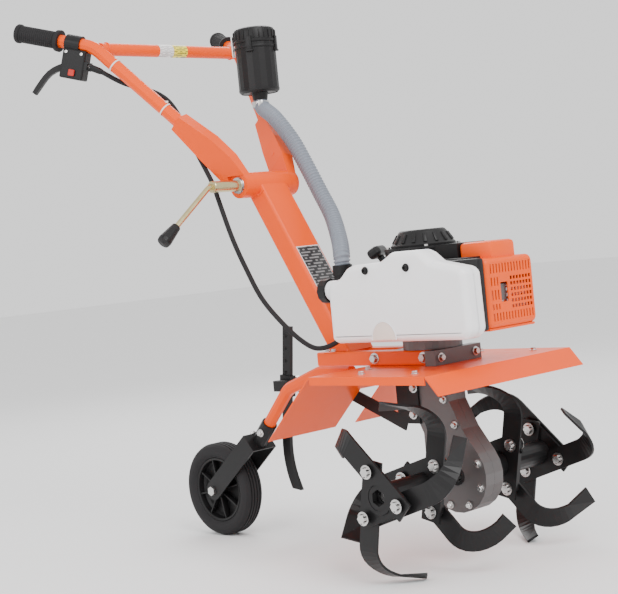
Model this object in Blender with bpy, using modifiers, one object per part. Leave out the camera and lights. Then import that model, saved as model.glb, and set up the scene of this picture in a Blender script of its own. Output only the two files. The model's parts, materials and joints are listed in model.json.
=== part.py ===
"""Petrol mini tiller: two-stroke engine on a worm gearbox, bolt-on tines, transport wheel.

Metres, +Z up, +X the way the machine drives, +Y its left side.  The model is laid out in a
machine frame (floor at z = 0, wheel axle at x = 0) and hangs from one empty that moves the
middle of its box to the origin.
"""
import math

import bmesh
import bpy
from mathutils import Matrix, Vector

# ---------------------------------------------------------------- driving dimensions
GAP = 0.0003                 # clearance between touching pieces
RUN = 0.0005                 # radial clearance of a running fit
BOX_MIDDLE = (0.2880, 0.0, 0.0)

WHEEL_RADIUS = 0.090
WHEEL_WIDTH = 0.046
WHEEL_BORE = 0.0055
RIM_DEPTH = 0.027            # tyre section, from the tread to the rim seat

AXLE_X = 0.613               # tine axle, from the wheel axle
AXLE_RADIUS = 0.0100
WORM_OFFSET = 0.044          # centre distance of the worm pair
WORM_TEETH = 24              # worm wheel teeth, single-start worm
WORM_CORE_RADIUS = 0.0085

PLATE_ABOVE_AXLE = 0.187     # top of the fender over the tine axle
SHEET = 0.0025
FENDER_HALF_WIDTH = 0.190
FENDER_REAR_X = 0.457
FENDER_FRONT_X = 0.710
REAR_FLAP = (-0.112, -0.110)
FRONT_FLAP = (0.025, -0.030)
SLOT_HALF_WIDTH = 0.0265

RAIL_HEIGHT = 0.025
RAIL_WIDTH = 0.023
RAIL_INNER_Y = 0.0215
RAIL_REAR_X = 0.335
RAIL_FRONT_X = 0.6005

COLUMN_WIDTH = 0.066
COLUMN_DEPTH = 0.040
COLUMN_WALL = 0.0025
COLUMN_LEAN = math.radians(30.2)
HUB_RADIUS = 0.0235
HUB_HALF_WIDTH = 0.0455
PIVOT_X = 0.200
PIVOT_HEIGHT = 0.668
PIVOT_BOLT_RADIUS = 0.0060

BAR_RADIUS = 0.0125
BAR_WALL = 0.0018
BAR_BEND = (-0.034, 0.182, 0.955)     # left handlebar, centre line
BAR_END = (-0.168, 0.252, 1.001)
GUSSET_LENGTH = 0.105
GRIP_RADIUS = 0.0165
GRIP_LENGTH = 0.092

PIPE_RADIUS = 0.0120
STAKE_SECTION = (0.020, 0.008)
STAKE_Y = 0.040

TINE_REACH = 0.133           # blade line, along the blade from the axle
TINE_OFFSET = 0.022          # blade line beside the axle
TINE_THICKNESS = 0.004
TINE_HALF_WIDTH = 0.0185
TINE_SWEEP = math.radians(28.0)
BEND_RADIUS = 0.045
OUTER_PLATE_Y = 0.212
INNER_PLATE_Y = 0.100
PLATE_THICKNESS = 0.005
TINE_BOLT_CIRCLE = 0.044
TINE_BOLT_RADIUS = 0.0040
TINE_HOLE_RADIUS = 0.0048
TINE_BOLT_HEAD = 0.0140
TINE_BOLT_HEIGHT = 0.006
TINE_BEND = math.radians(80.0)
HUB_TUBE_RADIUS = 0.0210
HUB_SOCKET = 0.0240

TANK_WALL = 0.0025
TANK_OUTER_Y = -0.130
TANK_INNER_Y = -0.0835
CANISTER_RADIUS = 0.0394
CANISTER_HEIGHT = 0.1250
HOSE_RADIUS = 0.0155
CABLE_RADIUS = 0.0045

# ---------------------------------------------------------------- colours
ORANGE = (0.90, 0.16, 0.02)
BLACK_PAINT = (0.022, 0.021, 0.022)
BLACK_PLASTIC = (0.018, 0.018, 0.019)
RUBBER = (0.020, 0.020, 0.021)
CAST_METAL = (0.42, 0.40, 0.38)
BRIGHT_STEEL = (0.62, 0.61, 0.60)
YELLOW_ZINC = (0.62, 0.48, 0.24)
TANK_WHITE = (0.88, 0.87, 0.89)
HOSE_GREY = (0.42, 0.43, 0.46)

COLLECTION = "mini_tiller"


# ---------------------------------------------------------------- scene helpers
def clear_scene():
    for item in list(bpy.data.objects):
        bpy.data.objects.remove(item, do_unlink=True)


def new_collection(name):
    group = bpy.data.collections.new(name)
    bpy.context.scene.collection.children.link(group)
    return group


def finish_material(name, colour, roughness, metallic):
    """One Principled material, made once for each finish."""
    found = bpy.data.materials.get(name)
    if found:
        return found
    made = bpy.data.materials.new(name)
    made.use_nodes = True
    shader = made.node_tree.nodes["Principled BSDF"]
    shader.inputs["Base Color"].default_value = (*colour, 1.0)
    shader.inputs["Roughness"].default_value = roughness
    shader.inputs["Metallic"].default_value = metallic
    made.diffuse_color = (*colour, 1.0)
    return made


FINISHES = {
    "orange_paint": (ORANGE, 0.35, 0.0),
    "orange_plastic": (ORANGE, 0.40, 0.0),
    "black_paint": (BLACK_PAINT, 0.45, 0.0),
    "black_plastic": (BLACK_PLASTIC, 0.40, 0.0),
    "rubber": (RUBBER, 0.75, 0.0),
    "cast_metal": (CAST_METAL, 0.55, 0.9),
    "bright_steel": (BRIGHT_STEEL, 0.30, 1.0),
    "yellow_zinc": (YELLOW_ZINC, 0.32, 1.0),
    "tank_plastic": (TANK_WHITE, 0.35, 0.0),
    "hose_plastic": (HOSE_GREY, 0.40, 0.0),
    "brass": ((0.70, 0.50, 0.20), 0.35, 1.0),
    "filter_paper": ((0.55, 0.47, 0.30), 0.9, 0.0),
    "red_plastic": ((0.55, 0.03, 0.02), 0.4, 0.0),
}


class Builder:
    """Holds the collections, the empties of the bodies, and what is made so far."""

    def __init__(self):
        self.parts = new_collection(COLLECTION)
        self.cutters = new_collection("cutters")
        self.machine = self.empty("machine_frame", (-BOX_MIDDLE[0], -BOX_MIDDLE[1], -BOX_MIDDLE[2]), None)
        self.bodies = {}

    def empty(self, name, place, parent):
        made = bpy.data.objects.new(name, None)
        made.location = place
        made.parent = parent
        self.parts.objects.link(made)
        return made

    def body(self, name, place=(0.0, 0.0, 0.0)):
        self.bodies[name] = self.empty(name + "_axis", place, self.machine)

    def attach(self, item, body):
        """Hang a piece, modelled in the machine frame, from its body's empty."""
        holder = self.bodies[body]
        item.location = Vector(item.location) - holder.location
        item.parent = holder


def object_from_bmesh(work, name, place=(0, 0, 0)):
    mesh = bpy.data.meshes.new(name)
    work.to_mesh(mesh)
    work.free()
    item = bpy.data.objects.new(name, mesh)
    item.location = place
    bpy.context.scene.collection.objects.link(item)
    return item


def axis_turn(axis):
    """Rotation that takes +Z to the named axis."""
    turns = {
        "Z": Matrix.Identity(4),
        "X": Matrix.Rotation(math.pi / 2, 4, "Y"),
        "Y": Matrix.Rotation(-math.pi / 2, 4, "X"),
    }
    return turns[axis]


def box(size, centre, name="box"):
    work = bmesh.new()
    bmesh.ops.create_cube(work, size=1.0)
    bmesh.ops.scale(work, vec=Vector(size), verts=work.verts)
    return object_from_bmesh(work, name, centre)


def span_box(x, y, z, name="box"):
    """A box from its two limits along each axis."""
    size = (x[1] - x[0], y[1] - y[0], z[1] - z[0])
    centre = ((x[0] + x[1]) / 2, (y[0] + y[1]) / 2, (z[0] + z[1]) / 2)
    return box(size, centre, name)


def cylinder(radius, length, centre, axis="Z", sides=20, radius_top=None, name="cylinder"):
    work = bmesh.new()
    top = radius if radius_top is None else radius_top
    bmesh.ops.create_cone(work, cap_ends=True, segments=sides, radius1=radius, radius2=top, depth=length)
    bmesh.ops.transform(work, matrix=axis_turn(axis), verts=work.verts)
    return object_from_bmesh(work, name, centre)


def hexagon(across, length, centre, axis="Z", name="hexagon"):
    return cylinder(across / math.sqrt(3), length, centre, axis, 6, name=name)


def turned(profile, centre, axis="Z", sides=24, closed=False, name="turned"):
    """A profile of (radius, height) points, listed top to bottom, turned about an axis."""
    work = bmesh.new()
    verts = [work.verts.new((radius, 0.0, height)) for radius, height in profile]
    pairs = list(zip(verts, verts[1:]))
    if closed:
        pairs.append((verts[-1], verts[0]))
    for first, second in pairs:
        work.edges.new((first, second))
    item = object_from_bmesh(work, name, centre)
    item.matrix_world = Matrix.Translation(centre) @ axis_turn(axis)
    screw = item.modifiers.new("Turn", "SCREW")
    screw.axis = "Z"
    screw.steps = sides
    screw.render_steps = sides
    screw.use_merge_vertices = True
    screw.merge_threshold = 0.00001
    return item


def ring(outer, inner, length, centre, axis="Z", sides=24, name="ring"):
    half = length / 2
    profile = [(inner, half), (outer, half), (outer, -half), (inner, -half)]
    return turned(profile, centre, axis, sides, closed=True, name=name)


def plate(outline, thickness, centre, axis="Y", name="plate"):
    """A flat outline as a filled 2D curve.  For axis Y its points are (x, z)."""
    curve = bpy.data.curves.new(name, "CURVE")
    curve.dimensions = "2D"
    curve.fill_mode = "BOTH"
    curve.extrude = thickness / 2
    spline = curve.splines.new("POLY")
    spline.points.add(len(outline) - 1)
    for point, (across, up) in zip(spline.points, outline):
        point.co = (across, up, 0.0, 1.0)
    spline.use_cyclic_u = True
    item = bpy.data.objects.new(name, curve)
    bpy.context.scene.collection.objects.link(item)
    turns = {"Y": Matrix.Rotation(math.pi / 2, 4, "X"), "Z": Matrix.Identity(4)}
    item.matrix_world = Matrix.Translation(centre) @ turns[axis]
    return curve_to_mesh(item, name)


def curve_to_mesh(item, name):
    """Turn a curve object into a mesh object with its caps welded."""
    bpy.context.view_layer.update()
    graph = bpy.context.evaluated_depsgraph_get()
    mesh = bpy.data.meshes.new_from_object(item.evaluated_get(graph))
    work = bmesh.new()
    work.from_mesh(mesh)
    bmesh.ops.remove_doubles(work, verts=work.verts, dist=0.00001)
    work.to_mesh(mesh)
    work.free()
    made = bpy.data.objects.new(name, mesh)
    made.matrix_world = item.matrix_world
    bpy.context.scene.collection.objects.link(made)
    bpy.data.objects.remove(item, do_unlink=True)
    return made


def rod(points, radius, sides=12, name="rod"):
    """A round bar along a list of points."""
    curve = bpy.data.curves.new(name, "CURVE")
    curve.dimensions = "3D"
    curve.bevel_depth = radius
    curve.bevel_resolution = sides // 4 - 1
    curve.use_fill_caps = True
    spline = curve.splines.new("POLY")
    spline.points.add(len(points) - 1)
    for point, place in zip(spline.points, points):
        point.co = (*place, 1.0)
    item = bpy.data.objects.new(name, curve)
    bpy.context.scene.collection.objects.link(item)
    return curve_to_mesh(item, name)


def rounded_path(points, radius, steps=6):
    """A polyline whose corners are arcs of about the given radius."""
    places = [Vector(p) for p in points]
    path = [places[0]]
    for before, corner, after in zip(places, places[1:], places[2:]):
        back = (before - corner).normalized()
        ahead = (after - corner).normalized()
        half = back.angle(ahead) / 2
        reach = min(radius / math.tan(half), 0.48 * (before - corner).length, 0.48 * (after - corner).length)
        start = corner + back * reach
        stop = corner + ahead * reach
        for step in range(steps + 1):
            t = step / steps
            path.append(start * (1 - t) ** 2 + corner * 2 * t * (1 - t) + stop * t ** 2)
    path.append(places[-1])
    return path


def smooth_path(points, count):
    """Evenly spaced points on a Catmull-Rom curve through the given points."""
    places = [Vector(p) for p in points]
    places = [2 * places[0] - places[1]] + places + [2 * places[-1] - places[-2]]
    dense = []
    for a, b, c, d in zip(places, places[1:], places[2:], places[3:]):
        for step in range(24):
            t = step / 24
            dense.append(0.5 * (2 * b + (c - a) * t + (2 * a - 5 * b + 4 * c - d) * t ** 2
                                + (3 * b - a - 3 * c + d) * t ** 3))
    dense.append(places[-2])
    lengths = [0.0]
    for first, second in zip(dense, dense[1:]):
        lengths.append(lengths[-1] + (second - first).length)
    path = []
    index = 0
    for number in range(count):
        wanted = lengths[-1] * number / (count - 1)
        while index < len(dense) - 2 and lengths[index + 1] < wanted:
            index += 1
        share = (wanted - lengths[index]) / (lengths[index + 1] - lengths[index])
        path.append(dense[index].lerp(dense[index + 1], share))
    return path


def loft(sections, name="loft"):
    """A closed body through sections that each have the same number of points."""
    work = bmesh.new()
    rows = [[work.verts.new(p) for p in section] for section in sections]
    count = len(sections[0])
    for first, second in zip(rows, rows[1:]):
        for k in range(count):
            n = (k + 1) % count
            work.faces.new((first[k], first[n], second[n], second[k]))
    work.faces.new(list(reversed(rows[0])))
    work.faces.new(rows[-1])
    bmesh.ops.recalc_face_normals(work, faces=work.faces)
    return object_from_bmesh(work, name)


def bevel_edges(item, width, segments=2, angle=math.radians(40)):
    bevel = item.modifiers.new("Rounded edges", "BEVEL")
    bevel.width = width
    bevel.segments = segments
    bevel.limit_method = "ANGLE"
    bevel.angle_limit = angle
    return item


def bake(item):
    """Apply an object's modifiers and its transform, for use inside another shape."""
    bpy.context.view_layer.update()
    graph = bpy.context.evaluated_depsgraph_get()
    mesh = bpy.data.meshes.new_from_object(item.evaluated_get(graph))
    mesh.transform(item.matrix_world)
    made = bpy.data.objects.new(item.name, mesh)
    bpy.context.scene.collection.objects.link(made)
    bpy.data.objects.remove(item, do_unlink=True)
    return made


def combine(base, tools, operation):
    """Boolean each tool with the base, and give back one mesh object."""
    base = bake(base)
    for tool in tools:
        ready = bake(tool)
        ready.hide_render = True
        ready.display_type = "WIRE"
        step = base.modifiers.new(operation.title(), "BOOLEAN")
        step.operation = operation
        step.object = ready
        step.solver = "EXACT"
        base = bake(base)
        bpy.data.objects.remove(ready, do_unlink=True)
    return base


def cut(base, tools):
    return combine(base, tools, "DIFFERENCE")


def join(base, tools):
    return combine(base, tools, "UNION")


def arc_points(centre, radius, start, stop, steps):
    """Points on a circle, angles in degrees."""
    points = []
    for step in range(steps + 1):
        angle = math.radians(start + (stop - start) * step / steps)
        points.append((centre[0] + radius * math.cos(angle), centre[1] + radius * math.sin(angle)))
    return points


def keep(build, item, name, finish, body, smooth=30.0):
    """Name a finished piece, colour it and hang it from its body."""
    item.name = name
    item.data.name = name
    for group_found in list(item.users_collection):
        group_found.objects.unlink(item)
    build.parts.objects.link(item)
    item.data.materials.clear()
    item.data.materials.append(finish_material(finish, *FINISHES[finish]))
    item.data.shade_smooth()
    item.data.set_sharp_from_angle(angle=math.radians(smooth))
    build.attach(item, body)
    return item


# ---------------------------------------------------------------- tines
def turn_about_axle(point, angle):
    """Rotate a point (x, y, z) given from the axle; positive takes +X towards +Z."""
    x, y, z = point
    return Vector((x * math.cos(angle) - z * math.sin(angle), y, x * math.sin(angle) + z * math.cos(angle)))


def tine_line(lateral, tail, steps=9):
    """Centre line of a blade that points along +X: (point, sweep angle) pairs from the axle.

    The flat root runs beside the axle, bends sideways and twists round the axle as it goes.
    """
    stations = [(-0.054, 0.0), (0.054, 0.0)]
    start = TINE_REACH - BEND_RADIUS
    for step in range(steps + 1):
        angle = TINE_BEND * step / steps
        stations.append((start + BEND_RADIUS * math.sin(angle), BEND_RADIUS * (1 - math.cos(angle))))
    last = stations[-1]
    stations.append((last[0] + tail * math.cos(TINE_BEND), last[1] + tail * math.sin(TINE_BEND)))
    furthest = stations[-1][1]
    line = []
    for along, sideways in stations:
        sweep = TINE_SWEEP * (sideways / furthest)
        line.append((Vector((along, lateral * sideways, -TINE_OFFSET)), sweep))
    return line


def tine_sections(angle, lateral, centre, tip_width, tail):
    """Four-cornered sections of a blade, from its root to its tip."""
    line = tine_line(lateral, tail)
    last = len(line) - 1
    places = [turn_about_axle(point, sweep + angle) for point, sweep in line]
    sections = []
    for index, (point, sweep) in enumerate(line):
        ahead = places[min(index + 1, last)]
        behind = places[max(index - 1, 0)]
        tangent = (ahead - behind).normalized()
        across = turn_about_axle((0.0, 0.0, 1.0), sweep + angle)
        normal = tangent.cross(across).normalized()
        across = normal.cross(tangent).normalized()
        share = max(0.0, (index - 5) / (last - 5))
        half = TINE_HALF_WIDTH * (1 - share) + tip_width * share
        thick = TINE_THICKNESS / 2
        middle = places[index] + Vector(centre)
        sections.append([middle + across * half + normal * thick, middle - across * half + normal * thick,
                         middle - across * half - normal * thick, middle + across * half - normal * thick])
    return sections


def tine_blade(angle, lateral, level_y, tip_width, tail):
    """One blade.  Its root lies at level_y; lateral is +1 or -1, the side it bends to."""
    return loft(tine_sections(angle, lateral, (AXLE_X, level_y, AXLE_Z), tip_width, tail), "tine")


def tine_lowest():
    """How far the lowest of the three outer blades reaches below the axle."""
    corners = [corner for angle in OUTER_ANGLES
               for section in tine_sections(angle, 1, (0, 0, 0), OUTER_TIP, OUTER_TAIL) for corner in section]
    return min(corner.z for corner in corners)


OUTER_ANGLES = [math.radians(a) for a in (-101.0, 137.0, 19.0)]
INNER_ANGLES = [math.radians(a) for a in (198.0, -45.0, 78.0)]
OUTER_TAIL = 0.030
INNER_TAIL = 0.010
OUTER_TIP = 0.011
INNER_TIP = 0.0170
AXLE_Z = -tine_lowest()
PLATE_TOP = AXLE_Z + PLATE_ABOVE_AXLE
RAIL_TOP = PLATE_TOP + GAP + RAIL_HEIGHT
CRANK_X = AXLE_X - WORM_OFFSET
CASE_HALF_WIDTH = 0.0225
BLOCK_TOP = RAIL_TOP
CLUTCH_TOP = BLOCK_TOP + 0.036
CRANKCASE_TOP = CLUTCH_TOP + 0.074
FAN_TOP = CRANKCASE_TOP + 0.061
STARTER_TOP = FAN_TOP + 0.028
CYLINDER_Z = CLUTCH_TOP + 0.038
SHAFT_RADIUS = 0.0070
SHAFT_BEARING_RADIUS = 0.0130
AXLE_BEARING_RADIUS = 0.0160
BEARING_WIDTH = 0.0070
BORE_RADIUS = 0.0220         # engine bore
DRUM_RADIUS = 0.0360
FLYWHEEL_RADIUS = 0.0480


# ---------------------------------------------------------------- transport wheel
def make_tyre(build):
    half = WHEEL_WIDTH / 2
    inner = WHEEL_RADIUS - RIM_DEPTH
    shoulder = WHEEL_RADIUS - 0.004
    wall = WHEEL_RADIUS - 0.012
    profile = [(inner, 0.76 * half), (wall, half), (shoulder, 0.84 * half),
               (WHEEL_RADIUS, 0.50 * half), (WHEEL_RADIUS, -0.50 * half),
               (shoulder, -0.84 * half), (wall, -half), (inner, -0.76 * half)]
    tyre = turned(profile, (0, 0, WHEEL_RADIUS), "Y", 24, closed=True)
    keep(build, tyre, "tyre", "rubber", "wheel")


def make_wheel_rim(build):
    """Moulded rim: a hub, a thin web and the seat that the tyre is stretched over."""
    outer = WHEEL_RADIUS - RIM_DEPTH - GAP
    half = 0.36 * WHEEL_WIDTH
    hub_half = WHEEL_WIDTH / 2
    profile = [(WHEEL_BORE, hub_half), (0.015, hub_half), (0.017, 0.0025), (outer - 0.005, 0.0025),
               (outer - 0.005, half), (outer, half), (outer, -half), (outer - 0.005, -half),
               (outer - 0.005, -0.0025), (0.017, -0.0025), (0.015, -hub_half), (WHEEL_BORE, -hub_half)]
    rim = turned(profile, (0, 0, WHEEL_RADIUS), "Y", 24, closed=True)
    keep(build, rim, "wheel_rim", "black_plastic", "wheel")


FORK_DIRECTION = Vector((0.768, 0.0, 0.640))
FORK_LENGTH = 0.150
FORK_HALF_WIDTH = 0.019
FORK_THICKNESS = 0.003
FORK_INNER_Y = WHEEL_WIDTH / 2 + 0.004
SLEEVE_LENGTH = 0.052
SLEEVE_WALL = 0.0028


def slope_matrix(centre, along):
    """Local +Z runs along the given direction in the middle plane, local +Y stays +Y."""
    along = Vector(along).normalized()
    side = Vector((0, 1, 0))
    across = side.cross(along)
    turn = Matrix((across, side, along)).transposed().to_4x4()
    return Matrix.Translation(centre) @ turn


def sloped_box(size, centre, along):
    """A box of size (across, wide in Y, along), with its last side along the direction."""
    item = box(size, (0, 0, 0))
    item.matrix_world = slope_matrix(centre, along)
    return item


def aimed(item, centre, along):
    """Put an upright round piece at a place with its axis along any direction."""
    turn = Vector(along).to_track_quat("Z", "Y").to_matrix().to_4x4()
    item.matrix_world = Matrix.Translation(centre) @ turn
    return item


def make_wheel_fork(build):
    axle = Vector((0, 0, WHEEL_RADIUS))
    arms = []
    for side in (-1, 1):
        middle = axle + FORK_DIRECTION * (FORK_LENGTH / 2)
        middle.y = side * (FORK_INNER_Y + FORK_THICKNESS / 2)
        arms.append(sloped_box((2 * FORK_HALF_WIDTH, FORK_THICKNESS, FORK_LENGTH), middle, FORK_DIRECTION))
        end = (0, middle.y, WHEEL_RADIUS)
        arms.append(cylinder(FORK_HALF_WIDTH - 0.0001, FORK_THICKNESS - 0.00002, end, "Y", 16))
    top = axle + FORK_DIRECTION * (FORK_LENGTH - FORK_THICKNESS / 2)
    width = 2 * (FORK_INNER_Y + FORK_THICKNESS)
    bridge = sloped_box((2 * FORK_HALF_WIDTH - 0.0002, width - 0.0002, FORK_THICKNESS), top, FORK_DIRECTION)
    fork = join(bridge, arms + [fork_sleeve()])
    fork = cut(fork, [cylinder(WHEEL_BORE - RUN + GAP, 0.1, axle, "Y")])
    keep(build, fork, "wheel_fork", "black_paint", "root")
    pin = WHEEL_BORE - RUN
    reach = FORK_INNER_Y + FORK_THICKNESS + GAP
    heads = [cylinder(pin, 2 * reach + 0.002, axle, "Y"),
             hexagon(0.016, 0.006, (0, -reach - 0.003, WHEEL_RADIUS), "Y"),
             hexagon(0.016, 0.006, (0, reach + 0.003, WHEEL_RADIUS), "Y")]
    keep(build, join(heads[0], heads[1:]), "axle_bolt", "bright_steel", "root")


def pipe_line():
    """The bent pipe: level under the column foot, then down to the wheel fork."""
    level = PLATE_TOP - SHEET - GAP - PIPE_RADIUS
    foot = Vector((0, 0, WHEEL_RADIUS)) + FORK_DIRECTION * (FORK_LENGTH + 0.006)
    return [Vector((0.375, 0, level)), Vector((0.300, 0, level)), Vector((0.208, 0, 0.2855)), foot]


def pipe_rod(clearance):
    path = rounded_path([tuple(p) for p in pipe_line()], 0.05)
    return rod([tuple(p) for p in path], PIPE_RADIUS + clearance, 16)


def make_rear_pipe(build):
    keep(build, pipe_rod(0.0), "rear_pipe", "orange_paint", "root")


def fork_sleeve():
    """The socket that the pipe's lower end is clamped in, welded on the fork's bridge."""
    points = pipe_line()
    foot = points[3]
    along = (points[2] - foot).normalized()
    middle = foot + along * (SLEEVE_LENGTH / 2 - 0.010)
    return aimed(ring(PIPE_RADIUS + GAP + SLEEVE_WALL, PIPE_RADIUS + GAP, SLEEVE_LENGTH, (0, 0, 0), "Z", 14),
                 middle, along)


# ---------------------------------------------------------------- depth stake
STAKE_LEAN = math.radians(8.0)
STAKE_TOP = (0.181, 0.400)
STAKE_HOLDER_Z = 0.287
STAKE_SCREW_RISE = 0.004


def stake_outline():
    """Side outline (x, z): a straight bar whose lower part curves forward to a chisel point."""
    width = STAKE_SECTION[0]
    along = Vector((math.sin(STAKE_LEAN), -math.cos(STAKE_LEAN)))
    along.x = -along.x
    side = Vector((-along.y, along.x))
    top = Vector(STAKE_TOP)
    straight = 0.215
    rear = [top - side * width / 2 + along * d for d in (0.0, straight)]
    front = [top + side * width / 2 + along * d for d in (0.0, straight)]
    centre_r = 0.17
    pivot = top + along * straight + side * (centre_r)
    lower_rear = []
    lower_front = []
    for step in range(1, 7):
        angle = math.radians(32.0) * step / 6
        spoke = (-side * math.cos(angle) + along * math.sin(angle))
        lower_rear.append(pivot + spoke * (centre_r + width / 2))
        lower_front.append(pivot + spoke * (centre_r - width / 2))
    tip = lower_front[-1] + (lower_front[-1] - lower_front[-2]) * 0.8
    outline = rear + lower_rear + [tip] + list(reversed(lower_front)) + list(reversed(front))
    return [(p.x, p.y) for p in outline]


def make_depth_stake(build):
    thick = STAKE_SECTION[1]
    stake = plate(stake_outline(), thick, (0, STAKE_Y, 0))
    holes = []
    for number in range(4):
        down = 0.018 + 0.024 * number
        x = STAKE_TOP[0] - math.sin(STAKE_LEAN) * down
        z = STAKE_TOP[1] - math.cos(STAKE_LEAN) * down
        holes.append(cylinder(0.0042, 0.05, (x, STAKE_Y, z), "Y", 16))
    keep(build, cut(stake, holes), "depth_stake", "black_paint", "stake")


def holder_centre():
    down = (STAKE_TOP[1] - STAKE_HOLDER_Z) / math.cos(STAKE_LEAN)
    return Vector((STAKE_TOP[0] - math.sin(STAKE_LEAN) * down, STAKE_Y, STAKE_HOLDER_Z))


def make_stake_holder(build):
    centre = holder_centre()
    along = Vector((math.sin(STAKE_LEAN), 0, math.cos(STAKE_LEAN)))
    wall = 0.003
    slot = (STAKE_SECTION[0] + 2 * RUN, STAKE_SECTION[1] + 2 * RUN)
    block = sloped_box((slot[0] + 2 * wall, slot[1] + 2 * wall, 0.040), centre, along)
    arm_y = (PIPE_RADIUS + GAP, STAKE_Y - slot[1] / 2 - wall / 2)
    arm = span_box((centre.x - 0.010, centre.x + 0.075), arm_y,
                   (STAKE_HOLDER_Z - 0.008, STAKE_HOLDER_Z + 0.012))
    arm = bake(arm)
    pocket = sloped_box((slot[0], slot[1], 0.1), centre, along)
    screw_z = STAKE_HOLDER_Z + STAKE_SCREW_RISE
    bore = cylinder(0.0035, 0.02, (centre.x, STAKE_Y + slot[1] / 2 + wall, screw_z), "Y", 16)
    pipe = pipe_rod(GAP)
    holder = cut(join(block, [arm]), [pocket, bore, pipe])
    keep(build, holder, "stake_holder", "black_paint", "root")
    start = STAKE_Y + STAKE_SECTION[1] / 2 + GAP
    shank = cylinder(0.0032, 0.022, (centre.x, start + 0.011, screw_z), "Y", 12)
    knob = cylinder(0.011, 0.010, (centre.x, start + 0.022, screw_z), "Y", 8)
    keep(build, join(shank, [knob]), "stake_screw", "bright_steel", "stake_screw")


# ---------------------------------------------------------------- fender and rails
def make_fender(build):
    """Sheet with a sloping rear flap, slotted for the pipe, and a short front flap."""
    rear_x = FENDER_REAR_X + REAR_FLAP[0]
    front_x = FENDER_FRONT_X + FRONT_FLAP[0]
    outer = [(rear_x, PLATE_TOP + REAR_FLAP[1]), (FENDER_REAR_X, PLATE_TOP), (FENDER_FRONT_X, PLATE_TOP),
             (front_x, PLATE_TOP + FRONT_FLAP[1])]
    inner = [(front_x - SHEET, PLATE_TOP + FRONT_FLAP[1]), (FENDER_FRONT_X - 0.4 * SHEET, PLATE_TOP - SHEET),
             (FENDER_REAR_X + 0.4 * SHEET, PLATE_TOP - SHEET), (rear_x + SHEET, PLATE_TOP + REAR_FLAP[1])]
    sheet = plate(outer + inner, 2 * FENDER_HALF_WIDTH, (0, 0, 0))
    lips = []
    for side in (-1, 1):
        y = side * (FENDER_HALF_WIDTH - SHEET / 2)
        lips.append(box((FENDER_FRONT_X - FENDER_REAR_X - 0.004, SHEET - 0.0002, 0.013),
                        ((FENDER_FRONT_X + FENDER_REAR_X) / 2, y, PLATE_TOP - 0.0070)))
    sheet = join(sheet, lips)
    slot = span_box((rear_x - 0.02, 0.418), (-SLOT_HALF_WIDTH, SLOT_HALF_WIDTH), (0.15, PLATE_TOP + 0.02))
    shaft_hole = cylinder(SHAFT_BEARING_RADIUS + 0.001, 0.05, (CRANK_X, 0, PLATE_TOP))
    sheet = cut(sheet, [slot, shaft_hole])
    keep(build, sheet, "fender", "orange_paint", "root")


def rail(side):
    y = (RAIL_INNER_Y * side, (RAIL_INNER_Y + RAIL_WIDTH) * side)
    bar = span_box((RAIL_REAR_X, RAIL_FRONT_X), (min(y), max(y)), (PLATE_TOP + GAP, RAIL_TOP))
    return bevel_edges(bar, 0.003, 2)


def make_rails(build):
    keep(build, rail(-1), "rail_right", "orange_paint", "root")
    keep(build, rail(1), "rail_left", "orange_paint", "root")


# ---------------------------------------------------------------- column
def column_point(down):
    """Centre of the column at a distance down from the handlebar pivot."""
    return Vector((PIVOT_X + math.sin(COLUMN_LEAN) * down, 0, PIVOT_HEIGHT - math.cos(COLUMN_LEAN) * down))


def make_column(build):
    along = Vector((-math.sin(COLUMN_LEAN), 0, math.cos(COLUMN_LEAN)))
    length = 0.44
    outer = sloped_box((COLUMN_DEPTH, COLUMN_WIDTH, length), column_point(length / 2), along)
    bevel_edges(outer, 0.004, 2)
    hub = cylinder(HUB_RADIUS, 2 * HUB_HALF_WIDTH, (PIVOT_X, 0, PIVOT_HEIGHT), "Y", 32)
    inside = sloped_box((COLUMN_DEPTH - 2 * COLUMN_WALL, COLUMN_WIDTH - 2 * COLUMN_WALL, length),
                        column_point(length / 2 + HUB_RADIUS + 0.003), along)
    below = span_box((0.2, 0.7), (-0.2, 0.2), (0.1, RAIL_TOP + GAP))
    bore = cylinder(PIVOT_BOLT_RADIUS + RUN, 0.2, (PIVOT_X, 0, PIVOT_HEIGHT), "Y", 24)
    column = cut(join(outer, [hub]), [inside, below, bore])
    keep(build, column, "column", "orange_paint", "root")


# ---------------------------------------------------------------- gearbox
def case_outline():
    top = PLATE_TOP - SHEET - GAP
    rear = CRANK_X - 0.0185
    lobe = arc_points((AXLE_X, AXLE_Z), 0.062, 38.0, -168.0, 12)
    return [(CRANK_X - 0.048, top), (AXLE_X - 0.004, top), (AXLE_X - 0.002, top - 0.060),
            (AXLE_X + 0.020, AXLE_Z + 0.078)] + lobe + [(rear, AXLE_Z + 0.020), (rear, AXLE_Z + 0.070),
            (CRANK_X - 0.048, top - 0.050)]


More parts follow.
